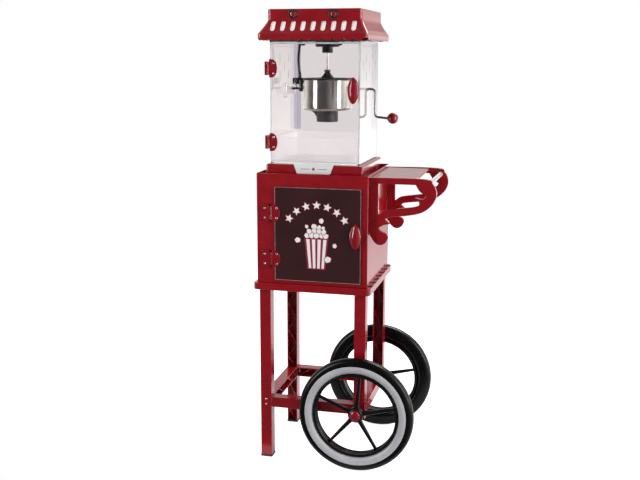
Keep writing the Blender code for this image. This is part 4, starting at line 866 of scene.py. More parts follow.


# Opal sheet behind the slots, glowing with painted light: the awning's slope again, a little further in.
def makeDiffuser(values, roof):
    top = canopyHigh.z - roof["bandHeight"] - 0.003
    low = top - roof["awningHeight"] + 0.005
    eaveHalf = (canopyHigh.x - canopyLow.x) / 2
    rings = []
    for extra in (values["inset"], values["inset"] + values["thickness"]):
        for t, z in (((0.02, top), (0.90, low)) if extra == values["inset"] else ((0.90, low), (0.02, top))):
            dims = [roof["bandHalf"] + (eaveHalf - roof["bandHalf"]) * t - extra,
                    roof["bandFront"] + (-canopyLow.y - roof["bandFront"]) * t - extra,
                    roof["bandBack"] + (canopyHigh.y - roof["bandBack"]) * t - extra]
            ring = canopyRing(*dims, {**roof, "lobePoints": 2})[0]
            rings.append(np.concatenate([ring, np.full((len(ring), 1), z)], -1))
    surface = gridSurface(np.array(rings), closeRows=True)
    makePiece("slot_diffuser", [(surface[0] + np.array([middleX, 0, 0]), surface[1])], opal, "cart")


makeDiffuser(diffuserShape, canopyShape)

switchShape = {"inner": 0.0089, "outer": 0.0124, "rise": 0.0024, "capRadius": 0.0074}


# A black bezel ring (turned section) and a red domed push cap in it.
def makeSwitch(side, x, values):
    z = canopyHigh.z - canopyShape["switchDrop"]
    face = -canopyShape["bandFront"]
    ring = roundedProfile([(values["inner"], 0.001), (values["inner"], -values["rise"]),
                           (values["outer"] - 0.0008, -values["rise"]), (values["outer"], -0.0008),
                           (values["outer"], -0.0001), (values["inner"] + 0.001, -0.0001),
                           (values["inner"] + 0.001, 0.001), (values["inner"], 0.001)], 0.0006)
    bezel = turnedSurface(ring[:-1], (middleX + x, face, z), "y", 64, closed=True)
    makePiece(side + "_switch_bezel", [bezel], blackAbs, "cart")
    low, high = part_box(side + "_switch")
    a = np.linspace(0, np.pi / 2, 12)
    depth = high.y - low.y
    r = values["capRadius"]
    dome = np.stack([r * np.sin(a), 0.0026 * (1 - np.cos(a))], -1)
    cap = np.vstack([dome, [(r, depth * 0.8), (r * 0.8, depth), (0, depth)]])
    centre = ((low.x + high.x) / 2, low.y, (low.z + high.z) / 2)
    makePiece(side + "_switch_cap", [turnedSurface(cap, centre, "y", 48)], redAbs,
              side + "_switch", [side + "_switch"], 40)


for side, x in zip(("left", "right"), canopyShape["switchX"]):
    makeSwitch(side, x, switchShape)
print("canopy finished")


# glass case: cast acrylic panels, hazy corner strips, the clear tray

for node in ("case_left_panel", "case_rear_panel", "glass_door_panel"):
    softenNode(node, clearSheet, 0.0004, 1)
# The right panel takes the greyer-tinted sheet: painted shade.
softenNode("case_right_panel", shadedRightSheet, 0.0004, 1)
softenNode("popcorn_tray", trayPlasticGlow, 0.0004, 1)

stripShape = {"leg": 0.015, "wall": 0.0012, "line": 0.0020}


# L-shaped strips down the two rear corners, inside the panels.
def makeStrips(values):
    leg, wall = values["leg"], values["wall"]
    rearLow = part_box("case_rear_panel")[0]
    height = ceilingLow.z - 0.001 - (caseLow.z + 0.075)
    for side, x, turn in (("left", caseLow.x + 0.0036, 1), ("right", caseRightHigh.x - 0.0036, -1)):
        loop = np.array([(0, 0), (turn * leg, 0), (turn * leg, -wall), (turn * wall, -wall),
                         (turn * wall, -leg), (0, -leg)], float)
        loop = np.roll(loop, -1, 0)
        strip = plateSurface([loop], height, 0, topFace(x, rearLow.y - 0.0004, caseLow.z + 0.075))
        makePiece("corner_strip_" + side, [strip], hazeStrip, "cart")
    # A thin grey line down the right rear corner of the case: painted shade along the corner.
    thin = values["line"]
    line = plateSurface([roundedBox(thin * 1.6, thin * 0.7, thin * 0.2, 2)],
                        ceilingLow.z - caseLow.z - 0.002, 0,
                        topFace(caseRightHigh.x - thin * 0.8, caseRightHigh.y + thin * 0.6,
                                caseLow.z + 0.001))
    makePiece("rear_corner_line", [line], cornerShadeLine, "cart")


makeStrips(stripShape)
print("case finished")


# doors: smoked cabinet panel with its light edge, oval pulls, hinge leaves and screws

softenNode("cabinet_door_panel", smoked, 0.0005, 2)

edgeShape = {"width": 0.0013, "clearWidth": 0.0042, "proud": 0.00012}


# The polished edge: a thin frame just proud of the panel's rim, in a paler colour that is a painted
# highlight.
def makeDoorEdge(body, low, high, edge, proud, material):
    width, height = high.x - low.x, high.z - low.z
    outer = roundedBox(width - 0.0004, height - 0.0004, 0.0012, 4)
    inner = roundedBox(width - 2 * edge, height - 2 * edge, 0.0008, 4)
    plate = plateSurface([outer, inner], proud * 2, 0,
                         frontFace((low.x + high.x) / 2, low.y + proud, (low.z + high.z) / 2))
    makePiece(body + "_edge", [plate], material, body)


makeDoorEdge("cabinet_door", doorLow, doorHigh, edgeShape["width"], edgeShape["proud"], smokedEdgeHighlight)
makeDoorEdge("glass_door", glassLow, glassHigh, edgeShape["clearWidth"], edgeShape["proud"],
             clearEdgeHighlight)

# point and dome are the powers of the rim and of the dome; brow is how far out the dome reaches.
# The flange follows as (share of the half axes, share of the rise).
pullShape = {"point": 1.72, "dome": 2.3, "brow": 0.86, "foot": 0.90, "shoulder": 0.50,
             "flange": [(0.88, 0.50), (0.91, 0.475), (0.95, 0.47), (0.99, 0.45), (1.0, 0.40),
                        (0.995, 0.33), (0.97, 0.28), (0.93, 0.22), (0.90, 0.0), (0.60, 0.0),
                        (0, 0.0)]}


# A pointed oval pull: rim |x/a|^n + |z/b|^n = 1; a dome of height 1 - p^m, then a flange that is
# drawn in underneath for the fingers.
def makePull(node, face, body, values):
    low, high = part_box(node)
    a, b = (high.x - low.x) / 2, (high.z - low.z) / 2
    rise = high.y - low.y
    centre = np.array([(low.x + high.x) / 2, face, (low.z + high.z) / 2])
    angle = np.linspace(0, 2 * np.pi, 96, endpoint=False)
    c, s = np.cos(angle), np.sin(angle)
    rim = (np.abs(c) ** values["point"] + np.abs(s) ** values["point"]) ** (-1 / values["point"])
    flange = np.array(values["flange"])
    onDome, shoulder = np.linspace(0, values["brow"], 18), rise * values["shoulder"]
    p = np.concatenate([onDome, flange[:, 0]])
    dome = shoulder + shoulder * (1 - (onDome / values["foot"]) ** values["dome"])
    height = np.concatenate([dome, rise * flange[:, 1]])
    points = np.stack([centre[0] + a * p[:, None] * rim * c, centre[1] - height[:, None] + 0 * c,
                       centre[2] + b * p[:, None] * rim * s], -1)
    makePiece(node + "_moulding", [gridSurface(points)], redAbs, body, [node], 42)


makePull("cabinet_door_pull", doorLow.y - 0.0003, "cabinet_door", pullShape)
makePull("glass_door_pull", glassLow.y - 0.0003, "glass_door", pullShape)

hingeShape = {"screw": 0.0029, "screwRise": 0.013, "doorScrewIn": 0.0095, "frameScrewIn": 0.0078}


# Half-oval leaves with rounded faces, and two pan-head screws on each leaf but the case's.
def makeHinges(values):
    for group, body, fixedName in (("cabinet", "cabinet_door", "_frame_leaf"),
                                   ("glass", "glass_door", "_case_leaf")):
        for level in ("upper", "lower"):
            leaf = group + "_hinge_" + level + "_door_leaf"
            softenNode(leaf, redAbs, 0.0006, 3)
            low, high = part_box(leaf)
            middle = (low.z + high.z) / 2
            rows = [middle + s * values["screwRise"] for s in (-1, 1)]
            screwHeads(leaf + "_screws", [(high.x - values["doorScrewIn"], z) for z in rows],
                       frontFace(0, low.y + 0.0006, 0), values["screw"], screwSteelRedReflection, body)
            fixed = group + "_hinge_" + level + fixedName
            softenNode(fixed, redAbs, 0.0008, 3)
            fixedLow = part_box(fixed)[0]
            if group == "cabinet":
                screwHeads(fixed + "_screws",
                           [(fixedLow.x + values["frameScrewIn"], z) for z in rows],
                           frontFace(0, fixedLow.y + 0.0006, 0), values["screw"], screwSteelRedReflection, "cart")


makeHinges(hingeShape)
print("doors and hinges finished")


# door picture: an arch of stars over a striped tub of popcorn, all screen-printed ink

pictureShape = {"centreX": 0.0149, "arcCentreZ": 0.6219, "arcRadius": 0.0935, "spread": 53.0,
                "stars": 7, "starRadius": 0.0140, "tubX": 0.0142, "tubTop": 0.6280,
                "tubBottom": 0.5445, "tubWide": 0.0650, "tubNarrow": 0.0480, "stripes": 4,
                "ink": 0.00012, "rim": 0.0030}
# popped kernels: x, z and radius; those in the tub, then those that fly
pictureShape["heap"] = [
    (-0.0250, 0.6345, 0.0074), (-0.0130, 0.6360, 0.0080), (0.0002, 0.6350, 0.0076),
    (0.0135, 0.6365, 0.0080), (0.0255, 0.6345, 0.0074), (-0.0190, 0.6460, 0.0070),
    (-0.0065, 0.6475, 0.0076), (0.0075, 0.6470, 0.0072), (0.0200, 0.6455, 0.0070),
    (-0.0060, 0.6590, 0.0076), (0.0075, 0.6570, 0.0060), (0.0185, 0.6560, 0.0050)]
pictureShape["loose"] = [
    (0.0135, 0.6745, 0.0070), (-0.0505, 0.6215, 0.0076), (0.0495, 0.6100, 0.0060),
    (0.0310, 0.5725, 0.0088), (-0.0260, 0.6585, 0.0050)]


# Ten points: tips at the radius, waists between them.
def starLoop(radius, turn, waist=0.46):
    angle = turn + np.pi / 2 + np.arange(10) * np.pi / 5
    reach = np.where(np.arange(10) % 2 == 0, radius, radius * waist)
    return np.stack([reach * np.cos(angle), reach * np.sin(angle)], -1)


# A popped kernel's outline: r = R (0.88 + 0.15 |sin(2.5a + t)| + 0.05 cos(2a - 2t)).
def puffLoop(radius, turn):
    angle = np.linspace(0, 2 * np.pi, 60, endpoint=False)
    reach = radius * (0.88 + 0.15 * np.abs(np.sin(2.5 * angle + turn))
                      + 0.05 * np.cos(2 * angle - 2 * turn))
    return np.stack([reach * np.cos(angle), reach * np.sin(angle)], -1)


def makePicture(values):
    face = doorLow.y
    ink = values["ink"]
    red, white = [], []

    def printed(loop, x, z, layer, store):
        store.append(plateSurface([loop + np.array([x, z])], ink * 0.9, 0,
                                  frontFace(middleX, face - ink * layer, 0)))

    for number in range(values["stars"]):
        turn = math.radians(-values["spread"] + 2 * values["spread"] * number / (values["stars"] - 1))
        x = values["centreX"] + values["arcRadius"] * math.sin(turn)
        z = values["arcCentreZ"] + values["arcRadius"] * math.cos(turn)
        printed(starLoop(values["starRadius"], -turn, 0.50), x, z, 0, red)
        printed(starLoop(values["starRadius"] * 0.80, -turn, 0.47), x, z, 1, white)
    top, low = values["tubTop"], values["tubBottom"]
    wide, narrow = values["tubWide"] / 2, values["tubNarrow"] / 2
    edge = values["rim"]
    printed(np.array([(-narrow, low), (narrow, low), (wide, top), (-wide, top)]),
            values["tubX"], 0, 0, red)
    bands = values["stripes"]
    for number in range(bands):
        left = (number + 0.22) / bands * 2 - 1
        right = (number + 0.80) / bands * 2 - 1
        inner, outer = narrow - edge * 0.5, wide - edge * 0.6
        shape = np.array([(left * inner, low + edge), (right * inner, low + edge),
                          (right * outer, top - edge), (left * outer, top - edge)])
        printed(shape, values["tubX"], 0, 1, white)
    heap, loose = values["heap"], values["loose"]
    for number, (x, z, radius) in enumerate(heap + loose):
        loop = puffLoop(radius, number * 1.7)
        layer = 2 + 2 * (number % 3) if number < len(heap) else 2
        printed(loop * 1.13, values["tubX"] + x, z, layer, red)
        printed(loop * 0.93, values["tubX"] + x, z, layer + 1, white)
    makePiece("door_picture_red", red, redInk, "cabinet_door")
    makePiece("door_picture_white", white, whiteInk, "cabinet_door")


makePicture(pictureShape)

softenNode("label_plate", labelWhite, 0.0004, 2)
labelLow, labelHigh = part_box("label_plate")
badgeShape = {"star": 0.0058, "lineLong": 0.026, "lineHigh": 0.0012}


# A plain star between two short lines in place of a name.
def makeBadge(values):
    x, z = (labelLow.x + labelHigh.x) / 2, (labelLow.z + labelHigh.z) / 2 - 0.0006
    place = frontFace(x, labelLow.y, z)
    marks = [plateSurface([starLoop(values["star"], 0)], 0.0002, 0, place)]
    for side in (-1, 1):
        line = roundedBox(values["lineLong"], values["lineHigh"], 0.0005, 4)
        line = line + np.array([side * (values["star"] + 0.004 + values["lineLong"] / 2), 0])
        marks.append(plateSurface([line], 0.0002, 0, place))
    makePiece("label_badge", marks, redInk, "cart")


makeBadge(badgeShape)
print("door picture printed")


# kettle: pan, lid, hub, heater base, plug, hook, crank and cable

kettleShape = {"lip": 0.0011, "wall": 0.0015, "bottomRound": 0.009}


# Deep-drawn pan: outer wall, rolled rim, inner wall, turned as one closed profile.
def makePan(values):
    radius = (panHigh.x - panLow.x) / 2
    wall, lip = values["wall"], values["lip"]
    low, high = panLow.z, panHigh.z
    body = radius - 0.0015
    a = np.linspace(-np.pi / 2, 0, 8)
    r = values["bottomRound"]
    foot = np.stack([body - r + r * np.cos(a), low + r + r * np.sin(a)], -1)
    roll = np.linspace(-np.pi / 2, np.pi, 14)
    rim = np.stack([body + 0.0004 + lip * np.cos(roll), high - lip + lip * np.sin(roll)], -1)
    inside = body - wall
    back = np.stack([inside - r + r * np.cos(a), low + wall + r + r * np.sin(a)], -1)[::-1]
    outer = np.vstack([[(0, low)], foot, [(body, low + r + 0.004), (body, high - 0.006)], rim])
    inner = np.vstack([[(inside, high - 0.004)], back, [(0, low + wall)]])
    makePiece("kettle_drawn_pan", [turnedSurface(np.vstack([outer, inner]), (kettleX, kettleY, 0),
                                                 "z", 128)],
              kettleSteel, "kettle", ["kettle_pan"], 50)


makePan(kettleShape)

bridgeLow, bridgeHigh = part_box("lid_bridge")
hubShape = {"cone": 0.0155, "plate": 0.0040, "half": 0.0185, "facetDepth": 0.0012,
            "facets": 8, "bore": 0.0031, "neck": 0.0070, "head": 0.0085, "skirt": 0.97}


# Lid bridge: a slice of a disc, and a hub whose radius dips once for each facet.
def makeBridge(values):
    radius = (bridgeHigh.x - bridgeLow.x) / 2
    half = values["half"]
    end = math.asin(half / radius)
    angle = np.linspace(-end, end, 20)
    right = np.stack([radius * np.cos(angle), radius * np.sin(angle)], -1)
    loop = np.vstack([right, -right])
    bore, neck, head, skirt = values["bore"], values["neck"], values["head"], half * values["skirt"]
    plate = plateSurface([loop, circleSection(bore, 32)], values["plate"], 0.0005,
                         topFace(kettleX, kettleY, bridgeLow.z))
    base = bridgeLow.z + values["plate"]
    cone = base + values["cone"]
    top = bridgeHigh.z
    profile = roundedProfile([(bore, base - 0.0004), (skirt, base - 0.0004), (skirt, base + 0.0015),
                              (neck, cone - 0.001), (neck, cone + 0.0006), (head, cone + 0.0012),
                              (head, top), (bore, top), (bore, base - 0.0004)], 0.0007)[:-1]
    a = np.linspace(0, 2 * np.pi, 96, endpoint=False)
    onCone = ((profile[:, 1] > base + 0.001) & (profile[:, 1] < cone) & (profile[:, 0] > 0.005))[:, None]
    dip = onCone * values["facetDepth"] * np.abs(np.sin(a * values["facets"] / 2))
    r = profile[:, :1] - dip
    hub = np.stack([kettleX + r * np.cos(a), kettleY + r * np.sin(a), profile[:, 1:] + 0 * a], -1)
    makePiece("lid_bridge_moulding", [plate, gridSurface(hub, closeRows=True)], darkNylon, "kettle",
              ["lid_bridge"], 40)


makeBridge(hubShape)
for node in ("front_lid_flap", "rear_lid_flap"):
    softenNode(node, darkNylon, 0.0006, 2)
softenNode("kettle_hanger", clearSheet, 0.0006, 2)
for node in ("heater_base", "kettle_plug", "ceiling_pan", "stir_motor", "drive_coupler"):
    softenNode(node, ceilingPlastic if node in ("ceiling_pan", "stir_motor") else darkNylon,
               0.0006, 2)
softenNode("stirrer", screwSteelRedReflection, 0.0002, 1)
softenNode("axle", wireSteel, 0.0006, 2)

crankLow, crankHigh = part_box("crank")
knobLow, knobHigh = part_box("crank_knob")
crankShape = {"bend": 0.010, "radius": 0.0032, "outside": 0.0130, "fall": 0.0740}


# Wire crank: a round section carried along straight runs and true round bends; a ball knob with a
# short neck.
def makeCrank(values):
    pivotZ = crankHigh.z - (crankHigh.y - crankLow.y) / 2
    out = caseRightHigh.x + values["outside"]
    knobX, knobZ = (knobLow.x + knobHigh.x) / 2, (knobLow.z + knobHigh.z) / 2
    radius = (knobHigh.x - knobLow.x) / 2
    y = (knobLow.y + knobHigh.y) / 2
    path = bentPath([(crankLow.x, y, pivotZ), (out, y, pivotZ), (out, y, pivotZ - values["fall"]),
                     (crankHigh.x, y, knobZ)], values["bend"], 12)
    wire = carriedSurface(path, circleSection(values["radius"], 24), (0, 1, 0))
    makePiece("crank_wire", [wire], wireSteel, "kettle", ["crank"], 40)
    a = np.linspace(0, np.pi, 40)
    ball = np.stack([radius * np.sin(a), -radius * np.cos(a)], -1)
    neck = radius * 0.34
    ball[:, 0] = np.where((a < 0.34), np.maximum(ball[:, 0], neck * np.clip(a / 0.05, 0, 1)), ball[:, 0])
    makePiece("crank_ball", [turnedSurface(ball, (knobX, y, knobZ), "x", 64)], redAbs, "kettle",
              ["crank_knob"], 50)


makeCrank(crankShape)

# the route of the kettle's cable, gland to plug; it is held at both ends
cableShape = {"radius": 0.0035, "sleeve": 0.0050, "sleeveLength": 0.016, "bow": 0.0040,
              "shares": [(0.0, 0.0), (0.076, 0.0), (0.268, 0.6), (0.514, 1.0), (0.760, 0.6),
                         (0.910, 0.1), (1.0, 0.1)]}


# A round section carried along the route, swollen into ribbed sleeves at both ends: radius =
# sleeve * (ribs), fading to the cable's own radius.
def makeCable(values):
    low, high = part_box("kettle_cable")
    x = high.x - values["radius"]
    points = np.array([(x - values["bow"] * bow, kettleY, high.z + (low.z - high.z) * down)
                       for down, bow in values["shares"]])
    line = splinePath(points, 12)
    length = np.concatenate([[0], np.cumsum(np.linalg.norm(np.diff(line, axis=0), axis=1))])
    even = np.linspace(0, length[-1], 110)
    path = np.stack([np.interp(even, length, line[:, i]) for i in range(3)], -1)
    fromEnd = np.minimum(even, length[-1] - even)
    inSleeve = np.clip(1 - fromEnd / values["sleeveLength"], 0, 1) ** 0.6
    ribs = 1 - 0.10 * (np.sin(fromEnd / 0.0022 * np.pi) > 0.2)
    radius = np.where(fromEnd < values["sleeveLength"],
                      np.maximum(values["radius"], (values["radius"] + (values["sleeve"] - values["radius"])
                                                    * inSleeve) * ribs), values["radius"])
    tube = carriedSurface(path, circleSection(1.0, 24), (0, 1, 0), radius)
    cable = makePiece("kettle_lead", [tube], cablePvc, None, ["kettle_cable"], 60)
    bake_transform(cable)


makeCable(cableShape)

hookShape = {"radius": 0.0014, "size": 0.0085, "across": 0.0178}


# Spring clip on the plug: a wire bent into an open C, and a prong down the pan's side.
def makeHook(values):
    plugLow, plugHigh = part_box("kettle_plug")
    x, y, z = plugLow.x + values["across"], plugLow.y - values["radius"], plugHigh.z - 0.007
    s = values["size"]
    clip = bentPath([(x + s * 0.3, y, z + 0.002), (x - s * 0.6, y, z + 0.002),
                     (x - s * 0.6, y, z - s * 1.4), (x - s * 0.1, y, z - s * 1.4),
                     (x - s * 0.1, y, z - s * 2.3)], 0.0024, 8)
    prong = bentPath([(x + s * 0.75, y, z + 0.002), (x + s * 1.05, y, z - 0.006),
                      (x + s * 1.0, y, z - 0.020)], 0.002, 8)
    surfaces = [carriedSurface(path, circleSection(values["radius"], 16), (0, 1, 0))
                for path in (clip, prong)]
    makePiece("plug_clip_wire", surfaces, wireSteel, "kettle")


makeHook(hookShape)
print("kettle finished")


# small hardware: notches, screws, feet, inlet, vent ribs, magnetic catch and ceiling fittings

notchShape = {"count": 7, "width": 0.0150, "lean": 0.009, "margin": 0.0010}


# A row of narrow leaning openings along the right ledge, drawn as dark inlays in its top: painted shade in
# the openings.
def makeNotches(values):
    low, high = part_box("cabinet_right_panel")
    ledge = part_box("cabinet_floor_tray")[1]
    w, lean, margin = values["width"], values["lean"], values["margin"]
    near, far = high.x + margin, ledge.x - margin
    loop = np.array([(near, 0), (far, lean), (far, w + lean), (near, w)])
    depth = high.y - low.y
    surfaces = [plateSurface([loop + np.array([0, low.y + depth * (number + 0.3) / values["count"]])],
                             0.0002, 0, topFace(0, 0, ledge.z + 0.0001))
                for number in range(values["count"])]
    makePiece("foot_notches", surfaces, openingPaintedShade, "cart")


makeNotches(notchShape)

hardware = {"screw": 0.0032, "bolt": 0.0030, "railRise": 0.007, "rearIn": 0.014, "sideIn": 0.016,
            "sideUp": 0.020, "topDrop": 0.030, "bandDrop": 0.014, "bandOut": 0.09,
            "flangeDrops": (0.030, 0.085)}


def makeHardware(values):
    legs = {name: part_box(name + "_leg") for name in ("front_left", "front_right", "rear_left",
                                                     "rear_right")}
    railLow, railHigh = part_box("front_rail")
    rows = [(railLow.z + railHigh.z) / 2 + s * values["railRise"] for s in (-1, 1)]
    middles = {name: (low.x + high.x) / 2 for name, (low, high) in legs.items()}
    panelLow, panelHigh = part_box("cabinet_rear_panel")
    acrossRear = (panelLow.x + values["rearIn"], (panelLow.x + panelHigh.x) / 2,
                  panelHigh.x - values["rearIn"])
    sideLow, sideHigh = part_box("cabinet_left_panel")
    bandZ = canopyHigh.z - values["bandDrop"]
    # name, places on the face, the face
    groups = [("front_leg_screws", [(middles["front_left"], z) for z in rows],
               frontFace(0, legs["front_left"][0].y + 0.0002, 0)),
              ("rear_leg_screws", [(-middles[name], z) for name in ("rear_left", "rear_right")
                                   for z in rows],
               rearFace(0, legs["rear_left"][1].y - 0.0002, 0)),
              ("rear_panel_screws", [(-x, z) for x in acrossRear
                                     for z in (panelLow.z + values["rearIn"],
                                               panelHigh.z - values["topDrop"])],
               rearFace(0, panelHigh.y - 0.0001, 0)),
              ("left_panel_screws", [(-y, z) for y in (sideLow.y + values["sideIn"],
                                                       sideHigh.y - values["sideIn"])
                                     for z in (sideLow.z + values["sideUp"],
                                               sideHigh.z - values["topDrop"])],
               leftFace(sideLow.x + 0.0001, 0, 0)),
              ("canopy_rear_screws", [(-(middleX + x), bandZ) for x in (-values["bandOut"],
                                                                        values["bandOut"])],
               rearFace(0, canopyShape["bandBack"] - 0.0001, 0))]
    for name, places, face in groups:
        screwHeads(name, places, face, values["screw"], screwSteelRedReflection, "cart")
    # bolts down through the bracket's flange into the cabinet side
    for row in ("front_bracket", "rear_bracket"):
        low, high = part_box(row)
        inside = [((low.y + high.y) / 2, high.z - drop) for drop in values["flangeDrops"]]
        screwHeads(row + "_bolts", inside, rightFace(low.x + bracketShape["strip"] - 0.0002, 0, 0),
                   values["bolt"], screwSteelRedReflection, "cart")


makeHardware(hardware)

footShape = {"wall": 0.0010, "height": 0.0055}


# A thin moulded shoe round the foot of each long leg.
def makeFeet(values):
    for name in ("front_left_leg", "rear_left_leg"):
        low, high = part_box(name)
        width, depth = high.x - low.x + 2 * values["wall"], high.y - low.y + 2 * values["wall"]
        outer = roundedBox(width, depth, 0.002, 4)
        shoe = plateSurface([outer], values["height"], 0.0006,
                            topFace((low.x + high.x) / 2, (low.y + high.y) / 2, low.z))
        makePiece(name + "_shoe", [shoe], blackAbs, "cart")


makeFeet(footShape)

inletShape = {"width": 0.050, "height": 0.028, "thickness": 0.0030, "out": 0.060,
              "socket": (0.030, 0.018, 0.003), "pin": (0.0035, 0.0065, 0.0006), "screw": 0.0024,
              "pinPlaces": ((-0.007, -0.001), (0.0, 0.003), (0.007, -0.001)), "screwOut": 0.020,
              "rib": (0.0030, 0.016, 0.0014), "ribPitch": 0.0075, "catch": (0.012, 0.034, 0.002)}


# Mains inlet (a frame, a recess floor, three pins and two screws), vent ribs beside it, and the
# cabinet door's magnetic catch.
def makeRearFittings(values):
    face = baseHigh.y
    x, z = middleX - values["out"], (baseLow.z + baseHigh.z) / 2
    outer = roundedBox(values["width"], values["height"], 0.004, 6)
    socket = roundedBox(*values["socket"], 6)
    pins = [roundedBox(*values["pin"], 3) + np.array(offset) for offset in values["pinPlaces"]]
    bezel = plateSurface([outer, socket], values["thickness"], 0.0008, rearFace(x, face - 0.0003, z))
    floor = plateSurface([socket * 1.02], 0.0005, 0, rearFace(x, face - 0.0001, z))
    makePiece("mains_inlet", [bezel, floor], blackAbs, "cart")
    pinSurfaces = [plateSurface([pin], 0.0024, 0.0005, rearFace(x, face + 0.0003, z)) for pin in pins]
    makePiece("inlet_pins", pinSurfaces, wireSteel, "cart")
    screwHeads("inlet_screws", [(-(x + s * values["screwOut"]), z) for s in (-1, 1)],
               rearFace(0, face + 0.0026, 0), values["screw"], screwSteelRedReflection, "cart")
    ribFace = rearFace(middleX + values["out"], face - 0.0002, z)
    vents = [plateSurface([roundedBox(*values["rib"], 5) + np.array([i * values["ribPitch"], 0])],
                          0.0012, 0.0005, ribFace) for i in range(-4, 5)]
    makePiece("base_vent_ribs", vents, blackAbs, "cart")
    catch = plateSurface([roundedBox(*values["catch"], 5)], 0.009, 0.001,
                         rearFace(doorHigh.x - 0.0145, cabinetLow.y + 0.0027,
                                  (doorLow.z + doorHigh.z) / 2))
    makePiece("magnetic_catch", [catch], blackAbs, "cart")


makeRearFittings(inletShape)

ceilingFittings = {"screw": 0.0024, "ring": 0.026, "screwTurns": (0.6, 2.7, 4.8), "nutOut": 0.050,
                   "nutRadius": 0.0068, "nutNose": 0.0045, "nutHeight": 0.0085}


# Bolts round the motor boss and two thumb nuts on the ceiling.
def makeCeilingFittings(values):
    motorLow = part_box("stir_motor")[0]
    places = [(values["ring"] * math.cos(a), values["ring"] * math.sin(a))
              for a in values["screwTurns"]]
    screwHeads("boss_screws", places, underFace(kettleX, kettleY, motorLow.z + 0.0001),
               values["screw"], screwSteelRedReflection, "cart")
    wide, nose, drop = values["nutRadius"], values["nutNose"], values["nutHeight"]
    nut = roundedProfile([(0, 0), (wide, 0), (wide, -0.006), (nose, -drop), (0, -drop)], 0.0012)
    nuts = [turnedSurface(nut, (middleX + side * values["nutOut"], -values["nutOut"], ceilingLow.z),
                          "z", 40) for side in (1, -1)]
    makePiece("ceiling_thumb_nuts", nuts, blackAbs, "cart")


makeCeilingFittings(ceilingFittings)
print("hardware finished")


# floor and light: a white room, brighter behind and to the right, with two tall soft boxes at the
# sides and a wide one behind

studio = {"back": 0.58, "front": 0.10, "right": 0.5, "low": 1.6, "floorSize": 3.0,
          "floorFront": -0.22, "aim": (0, 0, 0.7), "floorGlow": 0.8, "floorMirrored": 0.12, "floorBack": 3.9,
          "lights": [("left softbox", (-1.75, -1.65, 1.15), (0.55, 2.0), 36),
                     ("right softbox", (2.25, -0.80, 1.15), (0.6, 2.0), 39),
                     ("rear softbox", (0.6, 2.2, 2.6), (1.6, 1.0), 30)]}


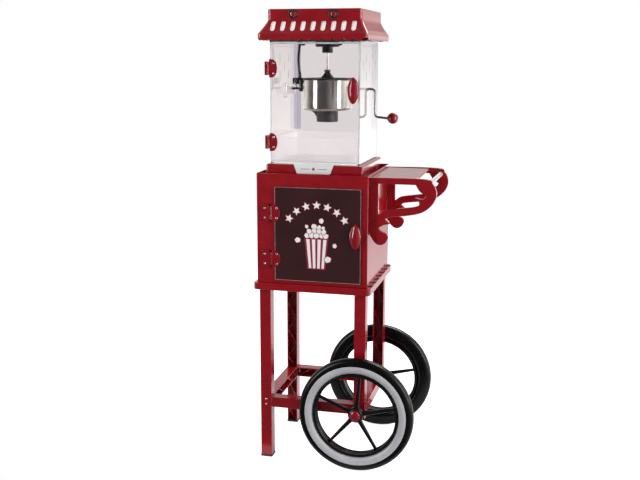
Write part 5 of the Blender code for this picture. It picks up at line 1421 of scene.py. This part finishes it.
def makeStudio(values):
    world = bpy.data.worlds.new("white room")
    world.use_nodes = True
    tree = world.node_tree
    tree.nodes.clear()
    direction = addNode(tree, "ShaderNodeTexCoord").outputs["Generated"]
    parts = addNode(tree, "ShaderNodeSeparateXYZ", None, {"Vector": direction})
    depth = addNode(tree, "ShaderNodeMapRange", {"From Min": -0.35, "From Max": 0.45,
                                                 "To Min": values["front"], "To Max": values["back"]},
                    {"Value": parts.outputs["Y"]})
    aside = addNode(tree, "ShaderNodeMapRange", {"From Min": 0.15, "From Max": 0.8,
                                                 "To Max": values["right"]},
                    {"Value": parts.outputs["X"]})
    low = addNode(tree, "ShaderNodeMapRange", {"From Min": 0.05, "From Max": -0.10,
                                               "To Max": values["low"]},
                  {"Value": parts.outputs["Z"]})
    behind = addNode(tree, "ShaderNodeMapRange", {"From Min": -0.2, "From Max": 0.3},
                     {"Value": parts.outputs["Y"]})
    ground = addNode(tree, "ShaderNodeMath", {"operation": "MULTIPLY"},
                     {0: low.outputs["Result"], 1: behind.outputs["Result"]})
    sides = addNode(tree, "ShaderNodeMath", {"operation": "ADD"},
                    {0: depth.outputs["Result"], 1: aside.outputs["Result"]})
    total = addNode(tree, "ShaderNodeMath", {"operation": "ADD"},
                    {0: sides.outputs[0], 1: ground.outputs[0]})
    room = addNode(tree, "ShaderNodeBackground", {"Color": (1, 1, 1, 1)},
                   {"Strength": total.outputs[0]})
    plain = addNode(tree, "ShaderNodeBackground", {"Color": (1, 1, 1, 1), "Strength": 1.0})
    path = addNode(tree, "ShaderNodeLightPath")
    bounces = addNode(tree, "ShaderNodeMath", {"operation": "ADD"},
                      {0: path.outputs["Glossy Depth"], 1: path.outputs["Diffuse Depth"]})
    seen = addNode(tree, "ShaderNodeMath", {"operation": "LESS_THAN", 1: 0.5},
                   {0: bounces.outputs[0]})
    both = addNode(tree, "ShaderNodeMixShader", None,
                   {0: seen.outputs[0], 1: room.outputs[0], 2: plain.outputs[0]})
    addNode(tree, "ShaderNodeOutputWorld", None, {"Surface": both.outputs[0]})
    bpy.context.scene.world = world
    for name, place, size, power in values["lights"]:
        lamp = bpy.data.lights.new(name, "AREA")
        lamp.shape = "RECTANGLE"
        lamp.size, lamp.size_y = size
        lamp.energy = power
        thing = bpy.data.objects.new(name, lamp)
        thing.location = place
        towards = Vector(values["aim"]) - Vector(place)
        thing.rotation_euler = towards.to_track_quat("-Z", "Y").to_euler()
        bpy.context.scene.collection.objects.link(thing)
    material = makeFinish("paleStudioFloor", {"Roughness": 0.9, "Emission Color": (1, 1, 1, 1)},
                          {"mottle": [(3.0, 2.0)]}, colour=("mottle", "#f6f6f6", "#fafafa"))
    tree = material.node_tree
    path = addNode(tree, "ShaderNodeLightPath")
    glow = addNode(tree, "ShaderNodeMapRange", {"To Min": values["floorGlow"], "To Max": 0.1},
                   {"Value": path.outputs["Is Diffuse Ray"]})
    share = values["floorMirrored"] / values["floorGlow"]
    mirrored = addNode(tree, "ShaderNodeMapRange", {"To Min": 1.0, "To Max": share},
                       {"Value": path.outputs["Is Glossy Ray"]})
    strength = addNode(tree, "ShaderNodeMath", {"operation": "MULTIPLY"},
                       {0: glow.outputs["Result"], 1: mirrored.outputs["Result"]})
    tree.links.new(strength.outputs[0], tree.nodes["Principled BSDF"].inputs["Emission Strength"])
    side, front, back = values["floorSize"], values["floorFront"], values["floorBack"]
    floor = bpy.data.meshes.new("floor")
    floor.from_pydata([(x, y, -0.0004) for x, y in ((-side, front), (side, front), (side, back),
                                                    (-side, back))], [], [(0, 1, 2, 3)])
    floor.materials.append(material)
    thing = bpy.data.objects.new("floor", floor)
    bpy.context.scene.collection.objects.link(thing)
    bpy.context.scene.view_settings.view_transform = "Standard"


makeStudio(studio)
print("studio ready")
